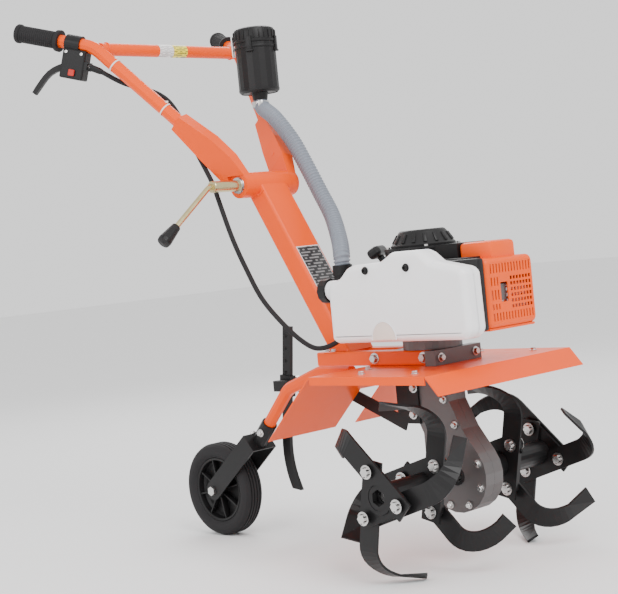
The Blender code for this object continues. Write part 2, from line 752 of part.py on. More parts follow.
def make_case_halves(build):
    depth = CASE_HALF_WIDTH - GAP / 2
    wheel_radius = WORM_OFFSET - WORM_CORE_RADIUS + 0.002
    for side, name in ((-1, "gearbox_case_right"), (1, "gearbox_case_left")):
        y = side * (GAP / 2 + depth / 2)
        half = plate(case_outline(), depth, (0, y, 0))
        wheel_room = cylinder(wheel_radius, 0.020, (AXLE_X, 0, AXLE_Z), "Y", 24)
        worm_room = cylinder(0.0128, 0.070, (CRANK_X, 0, AXLE_Z), "Z", 16)
        shaft_room = cylinder(SHAFT_RADIUS + 0.001, 0.30, (CRANK_X, 0, AXLE_Z + 0.15), "Z", 16)
        top_seat = cylinder(SHAFT_BEARING_RADIUS + GAP, BEARING_WIDTH + 0.1,
                            (CRANK_X, 0, PLATE_TOP - SHEET - BEARING_WIDTH / 2 - GAP + 0.05), "Z", 16)
        axle_hole = cylinder(AXLE_RADIUS + RUN, 0.1, (AXLE_X, 0, AXLE_Z), "Y", 16)
        seat_y = side * (CASE_HALF_WIDTH - BEARING_WIDTH + 0.025 + BEARING_WIDTH / 2)
        seat = cylinder(AXLE_BEARING_RADIUS + GAP, BEARING_WIDTH + 0.05, (AXLE_X, seat_y, AXLE_Z), "Y", 16)
        half = cut(half, [wheel_room, worm_room, shaft_room, top_seat, axle_hole, seat])
        keep(build, half, name, "cast_metal", "root")


def make_gearbox_block(build):
    low = PLATE_TOP + GAP
    spine = span_box((CRANK_X - 0.064, RAIL_FRONT_X + GAP + 0.001), (-RAIL_INNER_Y + GAP, RAIL_INNER_Y - GAP),
                     (low, BLOCK_TOP))
    nose = span_box((RAIL_FRONT_X + GAP, RAIL_FRONT_X + 0.022), (-0.060, 0.060), (low, BLOCK_TOP))
    bore = cylinder(SHAFT_RADIUS + 0.001, 0.1, (CRANK_X, 0, low), "Z", 24)
    block = cut(join(spine, [nose]), [bore])
    keep(build, block, "gearbox_block", "cast_metal", "root")
    low = BLOCK_TOP + GAP
    housing = cylinder(0.050, CLUTCH_TOP - low, (CRANK_X, 0, (low + CLUTCH_TOP) / 2), "Z", 28)
    room = cylinder(DRUM_RADIUS + 0.0015, 0.2, (CRANK_X, 0, low + 0.004 + 0.1), "Z", 28)
    neck = cylinder(SHAFT_RADIUS + 0.001, 0.1, (CRANK_X, 0, low), "Z", 16)
    keep(build, cut(housing, [room, neck]), "clutch_housing", "cast_metal", "root")


def make_fender_stay(build):
    """Two black straps: one stands against the leg, one runs back through the fender's slot."""
    inner = -(CASE_HALF_WIDTH + GAP)
    top = PLATE_TOP - SHEET - GAP
    standing = span_box((0.500, 0.548), (inner - 0.0035, inner), (top - 0.098, top - 0.012))
    direction = Vector((0.92, 0, -0.39)).normalized()
    middle = Vector((CRANK_X - 0.050 - 0.066, inner + 0.0002, top - 0.074))
    reach = sloped_box((0.022, 0.0030, 0.136), middle, direction)
    keep(build, join(standing, [reach]), "fender_stay", "black_paint", "root")


def make_bearings(build):
    for side, name in ((-1, "axle_bearing_right"), (1, "axle_bearing_left")):
        place = (AXLE_X, side * (CASE_HALF_WIDTH - BEARING_WIDTH / 2 - 0.0005), AXLE_Z)
        race = ring(AXLE_BEARING_RADIUS, AXLE_RADIUS + GAP, BEARING_WIDTH - 0.001, place, "Y", 16)
        keep(build, race, name, "bright_steel", "root")


# ---------------------------------------------------------------- rotor
def make_rotor_shaft(build):
    length = 2 * (OUTER_PLATE_Y - 0.012)
    shaft = cylinder(AXLE_RADIUS, length, (AXLE_X, 0, AXLE_Z), "Y", 16)
    keep(build, bevel_edges(shaft, 0.001, 1), "rotor_shaft", "bright_steel", "rotor")


def make_worm_wheel(build):
    tip = WORM_OFFSET - WORM_CORE_RADIUS - 0.0007
    root = tip - 0.0024
    outline = []
    for tooth in range(WORM_TEETH):
        for share, radius in ((0.32, root), (0.40, tip), (0.60, tip), (0.68, root)):
            angle = 2 * math.pi * (tooth + share) / WORM_TEETH
            outline.append((radius * math.cos(angle), radius * math.sin(angle)))
    wheel = plate(outline, 0.014, (AXLE_X, 0, AXLE_Z))
    wheel = cut(wheel, [cylinder(AXLE_RADIUS + GAP, 0.05, (AXLE_X, 0, AXLE_Z), "Y", 16)])
    keep(build, wheel, "worm_wheel", "brass", "rotor")


def tine_bolt_angles(level):
    start = 108.0 if level == "outer" else 48.0
    return [math.radians(start + 120.0 * n) for n in range(3)]


def make_hubs(build):
    """A tube with two tine plates welded on, one for each side of the gearbox."""
    for side, name in ((-1, "hub_right"), (1, "hub_left")):
        inner_end = INNER_PLATE_Y - 0.030
        outer_end = OUTER_PLATE_Y + 0.004
        y = side * (inner_end + outer_end) / 2
        tube = cylinder(HUB_TUBE_RADIUS, outer_end - inner_end, (AXLE_X, y, AXLE_Z), "Y", 20)
        plates = []
        holes = []
        for place, level in ((INNER_PLATE_Y, "inner"), (OUTER_PLATE_Y, "outer")):
            outline = []
            for angle in tine_bolt_angles(level):
                middle = (TINE_BOLT_CIRCLE * math.cos(angle), TINE_BOLT_CIRCLE * math.sin(angle))
                outline += arc_points(middle, 0.015, math.degrees(angle) - 60, math.degrees(angle) + 60, 2)
                spot = (AXLE_X + middle[0], side * place, AXLE_Z + middle[1])
                holes.append(cylinder(TINE_HOLE_RADIUS, 3 * PLATE_THICKNESS, spot, "Y", 8))
            centre = (AXLE_X, side * place, AXLE_Z)
            plates.append(plate(outline, PLATE_THICKNESS, centre))
        hub = join(tube, plates)
        bore = hexagon(HUB_SOCKET, 0.040, (AXLE_X, side * (outer_end + 0.020 - 0.012), AXLE_Z), "Y")
        through = cylinder(AXLE_RADIUS + GAP, 0.5, (AXLE_X, side * 0.25, AXLE_Z), "Y", 16)
        hub = cut(hub, [bore, through] + holes)
        keep(build, hub, name, "black_paint", "rotor")


def tine_level(place, face, layer):
    """Y of a blade's middle on one face of a plate; layer 2 lies on top of layer 1."""
    return place + face * (PLATE_THICKNESS / 2 + layer * GAP + (layer - 0.5) * TINE_THICKNESS)


def tine_bolt(place, angle):
    """A bolt through a plate; its head and nut are long enough to clamp the outermost blades."""
    x = AXLE_X + TINE_BOLT_CIRCLE * math.cos(angle)
    z = AXLE_Z + TINE_BOLT_CIRCLE * math.sin(angle)
    start = PLATE_THICKNESS / 2 + 2 * GAP
    end = start + 2 * TINE_THICKNESS + TINE_BOLT_HEIGHT
    ends = [hexagon(TINE_BOLT_HEAD, end - start, (x, place + face * (start + end) / 2, z), "Y")
            for face in (-1, 1)]
    return [cylinder(TINE_BOLT_RADIUS, 2 * start + 0.006, (x, place, z), "Y", 8)] + ends


def tine_set(build, name, place, level, blades):
    """Three blades and the three bolts that clamp them to their plate.

    Neighbouring blades share a bolt, so they lie in layers on both faces of the plate.
    """
    bolts = []
    for angle in tine_bolt_angles(level):
        bolts += tine_bolt(place, angle)
    tines = join(blades[0], blades[1:] + bolts)
    around_hub = cylinder(HUB_TUBE_RADIUS + GAP, 0.1, (AXLE_X, place, AXLE_Z), "Y", 20)
    keep(build, cut(tines, [around_hub]), name, "black_paint", "rotor")


def make_tines(build):
    for side, name in ((-1, "right"), (1, "left")):
        blades = []
        place = side * OUTER_PLATE_Y
        for angle, face, layer in zip(OUTER_ANGLES, (-1, 1, -1), (1, 1, 2)):
            level = tine_level(place, side * face, layer)
            blades.append(tine_blade(angle, -side, level, OUTER_TIP, OUTER_TAIL))
        tine_set(build, "tines_" + name + "_outer", place, "outer", blades)
        blades = []
        place = side * INNER_PLATE_Y
        for number, angle in enumerate(INNER_ANGLES):
            outward = (number != 1) == (side < 0)
            lateral = side if outward else -side
            level = tine_level(place, lateral, 2 if number == 2 else 1)
            tail = OUTER_TAIL if outward else INNER_TAIL
            blades.append(tine_blade(angle, lateral, level, INNER_TIP, tail))
        tine_set(build, "tines_" + name + "_inner", place, "inner", blades)


# ---------------------------------------------------------------- drive and engine
def make_worm_shaft(build):
    """Vertical shaft with the worm thread on its lower end; the drum is bolted on top."""
    low = AXLE_Z - 0.030
    high = BLOCK_TOP + 0.008
    shaft = cylinder(SHAFT_RADIUS - RUN, high - AXLE_Z - 0.020, (CRANK_X, 0, (high + AXLE_Z + 0.020) / 2),
                     "Z", 12)
    core = cylinder(WORM_CORE_RADIUS, 0.058, (CRANK_X, 0, low + 0.029), "Z", 20)
    pitch = 2 * math.pi * (WORM_OFFSET - WORM_CORE_RADIUS - 0.0017) / WORM_TEETH
    helix = []
    half_steps = 15
    for step in range(-half_steps, half_steps + 1):
        turn = 2 * math.pi * step / 10
        helix.append((CRANK_X + 0.0086 * math.cos(turn), 0.0086 * math.sin(turn), AXLE_Z + pitch * step / 10))
    thread = rod(helix, 0.0015, 8)
    low = BLOCK_TOP + 0.006
    drum = cylinder(DRUM_RADIUS, 0.026, (CRANK_X, 0, low + 0.013), "Z", 24)
    room = cylinder(DRUM_RADIUS - 0.003, 0.05, (CRANK_X, 0, low + 0.004 + 0.025), "Z", 24)
    worm = join(core, [shaft, thread])
    keep(build, join(worm, [cut(drum, [room])]), "worm_shaft", "bright_steel", "drive")


def make_crank(build):
    """Crankshaft with its disc and the clutch shoes below, in the middle of the casting."""
    low = BLOCK_TOP + 0.017
    high = STARTER_TOP - 0.018
    shaft = cylinder(0.0060, high - low, (CRANK_X, 0, (low + high) / 2), "Z", 16)
    disc = cylinder(0.0250, 0.018, (CRANK_X, 0, CYLINDER_Z), "Z", 20)
    shoes = []
    for side in (-1, 1):
        outline = arc_points((0, 0), DRUM_RADIUS - 0.0045, 12, 168, 8) + arc_points((0, 0), 0.013, 150, 30, 4)
        shoes.append(plate([(x, y * side) for x, y in outline], 0.010, (CRANK_X, 0, low + 0.0065), "Z"))
    carrier = cylinder(0.0180, 0.006, (CRANK_X, 0, low + 0.0065), "Z", 16)
    keep(build, join(shaft, [disc, carrier] + shoes), "crankshaft", "bright_steel", "crank")
    z = CRANKCASE_TOP + 0.012
    wheel = cylinder(FLYWHEEL_RADIUS, 0.010, (CRANK_X, 0, z), "Z", 24)
    fins = []
    for number in range(8):
        fin = box((0.020, 0.0020, 0.014), (0, 0, 0))
        angle = math.radians(45 * number)
        reach = FLYWHEEL_RADIUS - 0.0115
        fin.matrix_world = (Matrix.Translation((CRANK_X + reach * math.cos(angle), reach * math.sin(angle),
                                                z + 0.011)) @ Matrix.Rotation(angle, 4, "Z"))
        fins.append(fin)
    wheel = cut(join(wheel, fins), [cylinder(0.0060 + GAP, 0.1, (CRANK_X, 0, z), "Z", 16)])
    keep(build, wheel, "flywheel", "cast_metal", "crank")


CRANKCASE_FRONT = 0.054


def make_crankcase(build):
    low = CLUTCH_TOP + GAP
    middle = (low + CRANKCASE_TOP) / 2
    height = CRANKCASE_TOP - low
    case = span_box((CRANK_X - 0.050, CRANK_X + CRANKCASE_FRONT), (-0.044, 0.044), (low, CRANKCASE_TOP))
    case = bevel_edges(case, 0.006, 1)
    room = cylinder(0.0270, height - 0.024, (CRANK_X, 0, middle), "Z", 20)
    shaft = cylinder(0.0060 + RUN, 0.2, (CRANK_X, 0, middle), "Z", 16)
    front = cylinder(BORE_RADIUS + 0.0015, 0.060, (CRANK_X + 0.040, 0, CYLINDER_Z), "X", 20)
    inlet = cylinder(0.0090, 0.060, (CRANK_X - 0.045, 0, CYLINDER_Z), "X", 12)
    keep(build, cut(case, [room, shaft, front, inlet]), "crankcase", "cast_metal", "root")


def make_cylinder(build):
    start = CRANK_X + CRANKCASE_FRONT + GAP
    end = start + 0.078
    barrel = cylinder(BORE_RADIUS + 0.005, end - start, ((start + end) / 2, 0, CYLINDER_Z), "X", 20)
    fins = []
    for number in range(5):
        x = start + 0.018 + 0.0125 * number
        fins.append(box((0.0022, 0.074, 0.074), (x, 0, CYLINDER_Z)))
    bore = cylinder(BORE_RADIUS + 2 * RUN, 0.1, (end - 0.010 - 0.05, 0, CYLINDER_Z), "X", 20)
    plug_z = CYLINDER_Z + BORE_RADIUS
    plug_hole = cylinder(0.0052, 0.060, (end - 0.0125, 0, plug_z + 0.010), "Z", 16)
    port = cylinder(0.0080, 0.060, (start + 0.050, 0.030, CYLINDER_Z), "Y", 16)
    barrel = cut(join(barrel, fins), [bore, plug_hole, port])
    keep(build, barrel, "cylinder", "cast_metal", "root")
    top = CYLINDER_Z + 0.037
    plug = cylinder(0.0048, 0.022, (end - 0.0125, 0, plug_z + 0.014), "Z", 16)
    body = cylinder(0.0080, 0.038, (end - 0.0125, 0, top + 0.0205), "Z", 6)
    neck = cylinder(0.0048, 0.030, (end - 0.0125, 0, top - 0.005), "Z", 16)
    keep(build, join(body, [plug, neck]), "spark_plug", "black_plastic", "root")


def make_piston(build):
    """Piston and the upper part of its rod; the rod ends clear of the crank disc."""
    start = CRANK_X + 0.058
    piston = cylinder(BORE_RADIUS, 0.026, (start + 0.013, 0, CYLINDER_Z), "X", 20)
    rod_bar = span_box((CRANK_X + 0.0275, start + 0.002), (-0.007, 0.007),
                       (CYLINDER_Z - 0.004, CYLINDER_Z + 0.004))
    keep(build, join(piston, [rod_bar]), "piston", "cast_metal", "piston")


COVER_X = (0.640, 0.745)
COVER_Y = (-0.078, 0.062)


def make_engine_cover(build):
    low = PLATE_TOP + 0.0575
    high = PLATE_TOP + 0.1685
    wall = 0.0024
    shell = bevel_edges(span_box((COVER_X[0] - 0.02, COVER_X[1]), COVER_Y, (low, high)), 0.010, 2)
    hump = bevel_edges(span_box((0.672, 0.737), (-0.034, 0.030), (high - 0.02, high + 0.027)), 0.008, 2)
    behind = span_box((COVER_X[0] - 0.06, COVER_X[0]), (-0.2, 0.2), (low - 0.1, high + 0.1))
    room = span_box((COVER_X[0] - 0.05, COVER_X[1] - wall), (COVER_Y[0] + wall, COVER_Y[1] - wall),
                    (low + wall, high - wall))
    room = bevel_edges(room, 0.0075, 2)
    upper = bevel_edges(span_box((0.672 + wall, 0.737 - wall), (-0.034 + wall, 0.030 - wall),
                                 (high - 0.03, high + 0.027 - wall)), 0.0055, 2)
    vent = span_box((COVER_X[1] - 0.01, COVER_X[1] + 0.01), (0.006, 0.050), (low + 0.030, low + 0.088))
    outlet = span_box((COVER_X[1] - 0.01, COVER_X[1] + 0.01), (-0.050, -0.026), (low + 0.034, low + 0.062))
    cuts = [behind, room, upper, vent, outlet]
    keep(build, cut(join(shell, [hump]), cuts), "engine_cover", "orange_plastic", "root")


def make_muffler(build):
    start = CRANK_X + CRANKCASE_FRONT + GAP + 0.078 + 0.002
    box_shape = bevel_edges(span_box((start, COVER_X[1] - 0.006), (-0.046, 0.050),
                                     (CYLINDER_Z - 0.030, CYLINDER_Z + 0.026)), 0.0035, 2)
    room = span_box((start + 0.002, COVER_X[1] - 0.008), (-0.044, 0.048),
                    (CYLINDER_Z - 0.028, CYLINDER_Z + 0.024))
    outlet = cylinder(0.006, 0.05, (COVER_X[1] - 0.010, -0.037, CYLINDER_Z + 0.006), "X", 16)
    keep(build, cut(box_shape, [room, outlet]), "muffler", "bright_steel", "root")


def make_fan_housing(build):
    low = CRANKCASE_TOP + GAP
    high = FAN_TOP
    drum = cylinder(0.0640, high - low, (CRANK_X, 0, (low + high) / 2), "Z", 28)
    cover_top = PLATE_TOP + 0.1685 + 0.0008
    nose = span_box((CRANK_X + 0.01, 0.6705), (-0.036, 0.036), (cover_top, high - 0.0002))
    room = cylinder(0.0605, 0.1, (CRANK_X, 0, high - 0.003 - 0.05), "Z", 28)
    mouth = cylinder(0.0300, 0.1, (CRANK_X, 0, high), "Z", 20)
    keep(build, cut(join(drum, [nose]), [room, mouth]), "fan_housing", "black_plastic", "root")
    low = FAN_TOP + GAP
    cap = cylinder(0.055, STARTER_TOP - low, (CRANK_X, 0, (low + STARTER_TOP) / 2), "Z", 28, 0.039)
    room = cylinder(0.0500, STARTER_TOP - low, (CRANK_X, 0, (low + STARTER_TOP) / 2 - 0.0035), "Z", 28, 0.034)
    keep(build, cut(cap, [room]), "starter_cover", "black_plastic", "root")


TANK_X = (0.460, 0.757)
FILLER = (0.0, -0.107, 0.136)     # filler axis: across and above the fender top
FILLER_RADIUS = 0.014


def tank_outline(inset):
    """Side outline of the tank, drawn in by a wall thickness."""
    low = PLATE_TOP + 0.048 + inset
    left = TANK_X[0] + inset
    right = TANK_X[1] - inset
    top = PLATE_TOP - inset
    return [(left, low + 0.010), (left + 0.008, low), (right - 0.012, low), (right, low + 0.014),
            (right - 0.002, top + 0.150), (right - 0.008, top + 0.158), (0.690, top + 0.172),
            (0.672, top + 0.187), (0.660, top + 0.192), (0.606, top + 0.192), (0.592, top + 0.184),
            (0.580, top + 0.178), (0.520, top + 0.176), (0.506, top + 0.172), (0.488, top + 0.156),
            (left + 0.006, top + 0.152), (left, top + 0.144)]


def make_fuel_tank(build):
    width = TANK_INNER_Y - TANK_OUTER_Y
    middle = (TANK_INNER_Y + TANK_OUTER_Y) / 2
    tank = plate(tank_outline(0.0), width, (0, middle, 0))
    room = plate(tank_outline(TANK_WALL + 0.001), width - 2 * TANK_WALL, (0, middle, 0))
    z = PLATE_TOP + FILLER[2]
    neck = cylinder(FILLER_RADIUS + 0.003, 0.014, (TANK_X[0] - 0.004, FILLER[1], z), "X", 24)
    bore = cylinder(FILLER_RADIUS, 0.05, (TANK_X[0] - 0.005, FILLER[1], z), "X", 24)
    keep(build, cut(join(tank, [neck]), [room, bore]), "fuel_tank", "tank_plastic", "root")
    x = TANK_X[0] - 0.011 - GAP
    cap = cylinder(0.021, 0.014, (x - 0.007, FILLER[1], z), "X", 12)
    stem = cylinder(FILLER_RADIUS - RUN, 0.016, (x + 0.006, FILLER[1], z), "X", 24)
    keep(build, join(cap, [stem]), "fuel_cap", "black_plastic", "fuel_cap")


INLET_X = 0.455


def elbow_path():
    corners = [(0.377, 0.0, PLATE_TOP + 0.1692), (0.377, 0.0, CYLINDER_Z), (INLET_X, 0.0, CYLINDER_Z)]
    return rounded_path(corners, 0.04, 5)


def make_carburettor(build):
    x = (INLET_X + GAP, CRANK_X - 0.050 - GAP)
    body = bevel_edges(span_box(x, (-0.026, 0.026), (CYLINDER_Z - 0.020, CYLINDER_Z + 0.022)), 0.003, 2)
    dome = cylinder(0.013, 0.020, ((x[0] + x[1]) / 2, 0, CYLINDER_Z + 0.030), "Z", 20)
    bore = cylinder(0.0090, 0.2, (INLET_X, 0, CYLINDER_Z), "X", 20)
    keep(build, cut(join(body, [dome]), [bore]), "carburettor", "cast_metal", "root")
    path = [tuple(p) for p in elbow_path()]
    tube = rod(path, 0.0165, 16)
    longer = [(path[0][0], 0.0, path[0][2] + 0.01)] + path + [(path[-1][0] + 0.01, 0.0, path[-1][2])]
    keep(build, cut(tube, [rod(longer, 0.0140, 16)]), "intake_elbow", "black_plastic", "root")


PULL_DIRECTION = Vector((-0.45, -0.25, 0.86))


def make_pull_handle(build):
    """The recoil starter's handle, parked at the back of the fan housing."""
    place = Vector((CRANK_X - 0.096, -0.010, FAN_TOP - 0.004))
    grip = bevel_edges(box((0.060, 0.024, 0.018), (0, 0, 0)), 0.006, 2)
    turn = PULL_DIRECTION.to_track_quat("Z", "Y").to_matrix().to_4x4()
    grip.matrix_world = Matrix.Translation(place) @ turn
    stem_place = place - PULL_DIRECTION.normalized() * 0.014
    stem = aimed(cylinder(0.006, 0.022, (0, 0, 0)), stem_place, PULL_DIRECTION)
    keep(build, join(grip, [stem]), "pull_handle", "black_plastic", "recoil")


# ---------------------------------------------------------------- handlebars
PIVOT = (PIVOT_X, 0.0, PIVOT_HEIGHT)
PLATE_INNER_Y = HUB_HALF_WIDTH + GAP
PLATE_OUTER_Y = PLATE_INNER_Y + 0.020
BAR_FOOT = Vector((0.166, PLATE_INNER_Y + 0.028, 0.7225))


def bar_path(side):
    points = [BAR_FOOT, Vector(BAR_BEND), Vector(BAR_END)]
    return rounded_path([(p.x, side * p.y, p.z) for p in points], 0.06, 5)


def gusset(side):
    """Folded sheet that widens from the tube down to the serrated pivot plate."""
    foot = Vector((PIVOT_X, side * (PLATE_INNER_Y + 0.010), PIVOT_HEIGHT))
    bend = Vector((BAR_BEND[0], side * BAR_BEND[1], BAR_BEND[2]))
    start = Vector((BAR_FOOT.x, side * BAR_FOOT.y, BAR_FOOT.z))
    along = (bend - start).normalized()
    far = start + along * GUSSET_LENGTH
    rise = Vector((-along.z, 0, along.x)).normalized()
    out = along.cross(rise).normalized()
    sections = []
    for centre, tall, thick in ((foot, 0.0225, 0.0085), (start.lerp(foot, 0.3), 0.026, 0.0115),
                                (start + along * 0.030, 0.024, 0.0130), (far, 0.0150, 0.0138)):
        sections.append([centre + rise * tall + out * thick, centre - rise * tall + out * thick,
                         centre - rise * tall - out * thick, centre + rise * tall - out * thick])
    return loft(sections, "gusset")


def make_handlebars(build):
    for side, name in ((-1, "handlebar_right"), (1, "handlebar_left")):
        path = [tuple(p) for p in bar_path(side)]
        tube = rod(path, BAR_RADIUS, 16)
        y = side * (PLATE_INNER_Y + PLATE_OUTER_Y) / 2
        disc = cylinder(HUB_RADIUS, PLATE_OUTER_Y - PLATE_INNER_Y, (PIVOT_X, y, PIVOT_HEIGHT), "Y", 32)
        bar = join(tube, [gusset(side), disc])
        inner = side * PLATE_INNER_Y
        outer = side * PLATE_OUTER_Y
        keep_in = span_box((0.1, 0.3), sorted((inner - side * 0.1, inner)), (0.5, 0.8))
        face = span_box((PIVOT_X - 0.020, PIVOT_X + 0.06), (min(outer, outer + side * 0.1),
                        max(outer, outer + side * 0.1)), (PIVOT_HEIGHT - 0.05, PIVOT_HEIGHT + 0.018))
        bore = cylinder(PIVOT_BOLT_RADIUS + RUN, 0.4, (PIVOT_X, 0, PIVOT_HEIGHT), "Y", 24)
        end = Vector(path[-1])
        back = (Vector(path[-2]) - end).normalized()
        hollow = aimed(cylinder(BAR_RADIUS - BAR_WALL, 0.24, (0, 0, 0)), end, back)
        bar = cut(bar, [keep_in, face, bore, hollow])
        keep(build, bar, name, "orange_paint", "handlebar")


def make_crossbar(build):
    y = BAR_BEND[1] - 0.0105
    place = (BAR_BEND[0] + 0.003, 0, BAR_BEND[2] - 0.004)
    bar = cylinder(0.0120, 2 * y, place, "Y", 24)
    fish = [rod([tuple(p) for p in bar_path(side)], BAR_RADIUS + GAP, 16) for side in (-1, 1)]
    keep(build, cut(bar, fish), "crossbar", "orange_paint", "handlebar")


def make_grips(build):
    sides = 12
    inner = (BAR_RADIUS + GAP) / math.cos(math.pi / sides)
    for side, name in ((-1, "grip_right"), (1, "grip_left")):
        path = bar_path(side)
        end = Vector(path[-1])
        out = (end - Vector(path[-2])).normalized()
        top = 0.004
        low = top - GRIP_LENGTH
        profile = [(0, top), (GRIP_RADIUS + 0.0015, top), (GRIP_RADIUS + 0.0015, top - 0.008),
                   (GRIP_RADIUS, top - 0.011), (GRIP_RADIUS - 0.001, low + 0.010),
                   (GRIP_RADIUS + 0.004, low + 0.008), (GRIP_RADIUS + 0.004, low),
                   (inner, low), (inner, GAP), (0, GAP)]
        grip = turned(profile, (0, 0, 0), "Z", sides)
        keep(build, aimed(grip, end, out), name, "rubber", "handlebar")


def make_pivot_bolt(build):
    """Bolt through the hub: head outside the left plate, thread out to the clamp sleeve."""
    left = PLATE_OUTER_Y + GAP
    right = -(PLATE_OUTER_Y + 0.050)
    shank_place = (PIVOT_X, (left + 0.002 + right) / 2, PIVOT_HEIGHT)
    shank = cylinder(PIVOT_BOLT_RADIUS, left - right + 0.002, shank_place, "Y")
    head = hexagon(0.018, 0.008, (PIVOT_X, left + 0.004, PIVOT_HEIGHT), "Y")
    keep(build, join(shank, [head]), "pivot_bolt", "bright_steel", "handlebar")


CLAMP_BEND = Vector((PIVOT_X, -0.138, PIVOT_HEIGHT))
CLAMP_END = Vector((PIVOT_X + 0.004, -0.226, PIVOT_HEIGHT - 0.066))


def make_clamp_lever(build):
    start = -(PLATE_OUTER_Y + GAP)
    washer = cylinder(0.0125, 0.0025, (PIVOT_X, start - 0.00125, PIVOT_HEIGHT), "Y", 24)
    sleeve = cylinder(0.0102, 0.066, (PIVOT_X, start - 0.033, PIVOT_HEIGHT), "Y", 24)
    corners = [(PIVOT_X, start - 0.050, PIVOT_HEIGHT), tuple(CLAMP_BEND), tuple(CLAMP_END)]
    path = rounded_path(corners, 0.02, 6)
    arm = rod([tuple(p) for p in path], 0.0052, 12)
    bore = cylinder(PIVOT_BOLT_RADIUS + GAP, 0.2, (PIVOT_X, start - 0.052 + 0.1, PIVOT_HEIGHT), "Y", 24)
    keep(build, cut(join(sleeve, [washer, arm]), [bore]), "clamp_lever", "yellow_zinc", "clamp")
    out = (CLAMP_END - CLAMP_BEND).normalized()
    profile = [(0, 0.044), (0.0115, 0.042), (0.0125, 0.036), (0.0082, 0.0), (0.0055, 0.0), (0.0055, 0.0005),
               (0, 0.0005)]
    knob = aimed(turned(profile, (0, 0, 0), "Z", 20), CLAMP_END - out * 0.0002 + out * GAP, out)
    keep(build, knob, "clamp_knob", "black_plastic", "clamp")


# ---------------------------------------------------------------- throttle
def throttle_matrix():
    """Local frame on the right handlebar: X towards the grip, Y outwards, Z up."""
    bend = Vector((BAR_BEND[0], -BAR_BEND[1], BAR_BEND[2]))
    end = Vector((BAR_END[0], -BAR_END[1], BAR_END[2]))
    along = (end - bend).normalized()
    out = Vector((-along.y, along.x, 0)).normalized()
    up = along.cross(out).normalized()
    turn = Matrix((along, out, up)).transposed().to_4x4()
    return Matrix.Translation(bend + along * 0.048) @ turn


def throttle_piece(item):
    bpy.context.view_layer.update()
    item.matrix_world = throttle_matrix() @ item.matrix_world
    return item


LEVER_PIVOT = (-0.014, 0.0, -0.042)
LEVER_SLOT = 0.0100
SWITCH = (-0.018, 0.0160, -0.054)


def make_throttle(build):
    bore_radius = BAR_RADIUS + GAP
    ring_part = throttle_piece(cylinder(bore_radius + 0.0035, 0.030, (-0.008, 0, 0), "X", 24))
    body = bevel_edges(span_box((-0.040, 0.008), (-0.0135, 0.0135), (-0.066, -0.010)), 0.003, 2)
    body = throttle_piece(body)
    lug = throttle_piece(span_box((-0.046, -0.030), (-0.010, 0.012), (-0.046, -0.030)))
    slot = throttle_piece(span_box((-0.030, 0.030), (-LEVER_SLOT / 2, LEVER_SLOT / 2), (-0.090, -0.024)))
    bar = rod([tuple(p) for p in bar_path(-1)], bore_radius, 16)
    housing = cut(join(body, [ring_part, lug]), [slot, bar])
    keep(build, housing, "throttle_housing", "black_plastic", "handlebar")
    x, _, z = LEVER_PIVOT
    line = smooth_path([(x + 0.004, 0, z + 0.001), (0.016, 0, -0.050), (0.036, 0, -0.066), (0.052, 0, -0.094),
                        (0.058, 0, -0.106)], 9)
    widths = [0.0065, 0.0065, 0.006, 0.0055, 0.0052, 0.005, 0.005, 0.005, 0.0045]
    upper = []
    lower = []
    for index, point in enumerate(line):
        ahead = line[min(index + 1, 8)]
        behind = line[max(index - 1, 0)]
        along = (ahead - behind).normalized()
        side = Vector((-along.z, 0, along.x)) * widths[index]
        upper.append(((point + side).x, (point + side).z))
        lower.append(((point - side).x, (point - side).z))
    blade = plate(upper + list(reversed(lower)), LEVER_SLOT - 0.002, (0, 0, 0))
    boss = plate(arc_points((x, z), 0.0085, 0, 330, 11), LEVER_SLOT - 0.0022, (0, 0, 0))
    lever = join(throttle_piece(blade), [throttle_piece(boss)])
    keep(build, lever, "throttle_lever", "black_plastic", "throttle")
    switch = throttle_piece(bevel_edges(span_box((-0.024, -0.012), (0.0135 + GAP, 0.0180), (-0.060, -0.048)),
                                        0.001, 1))
    keep(build, switch, "stop_switch", "red_plastic", "switch")


# ---------------------------------------------------------------- air cleaner
CANISTER = (0.108, 0.097)
CANISTER_LOW = 0.8505
LID_HEIGHT = 0.030
SADDLE_Z = 0.885


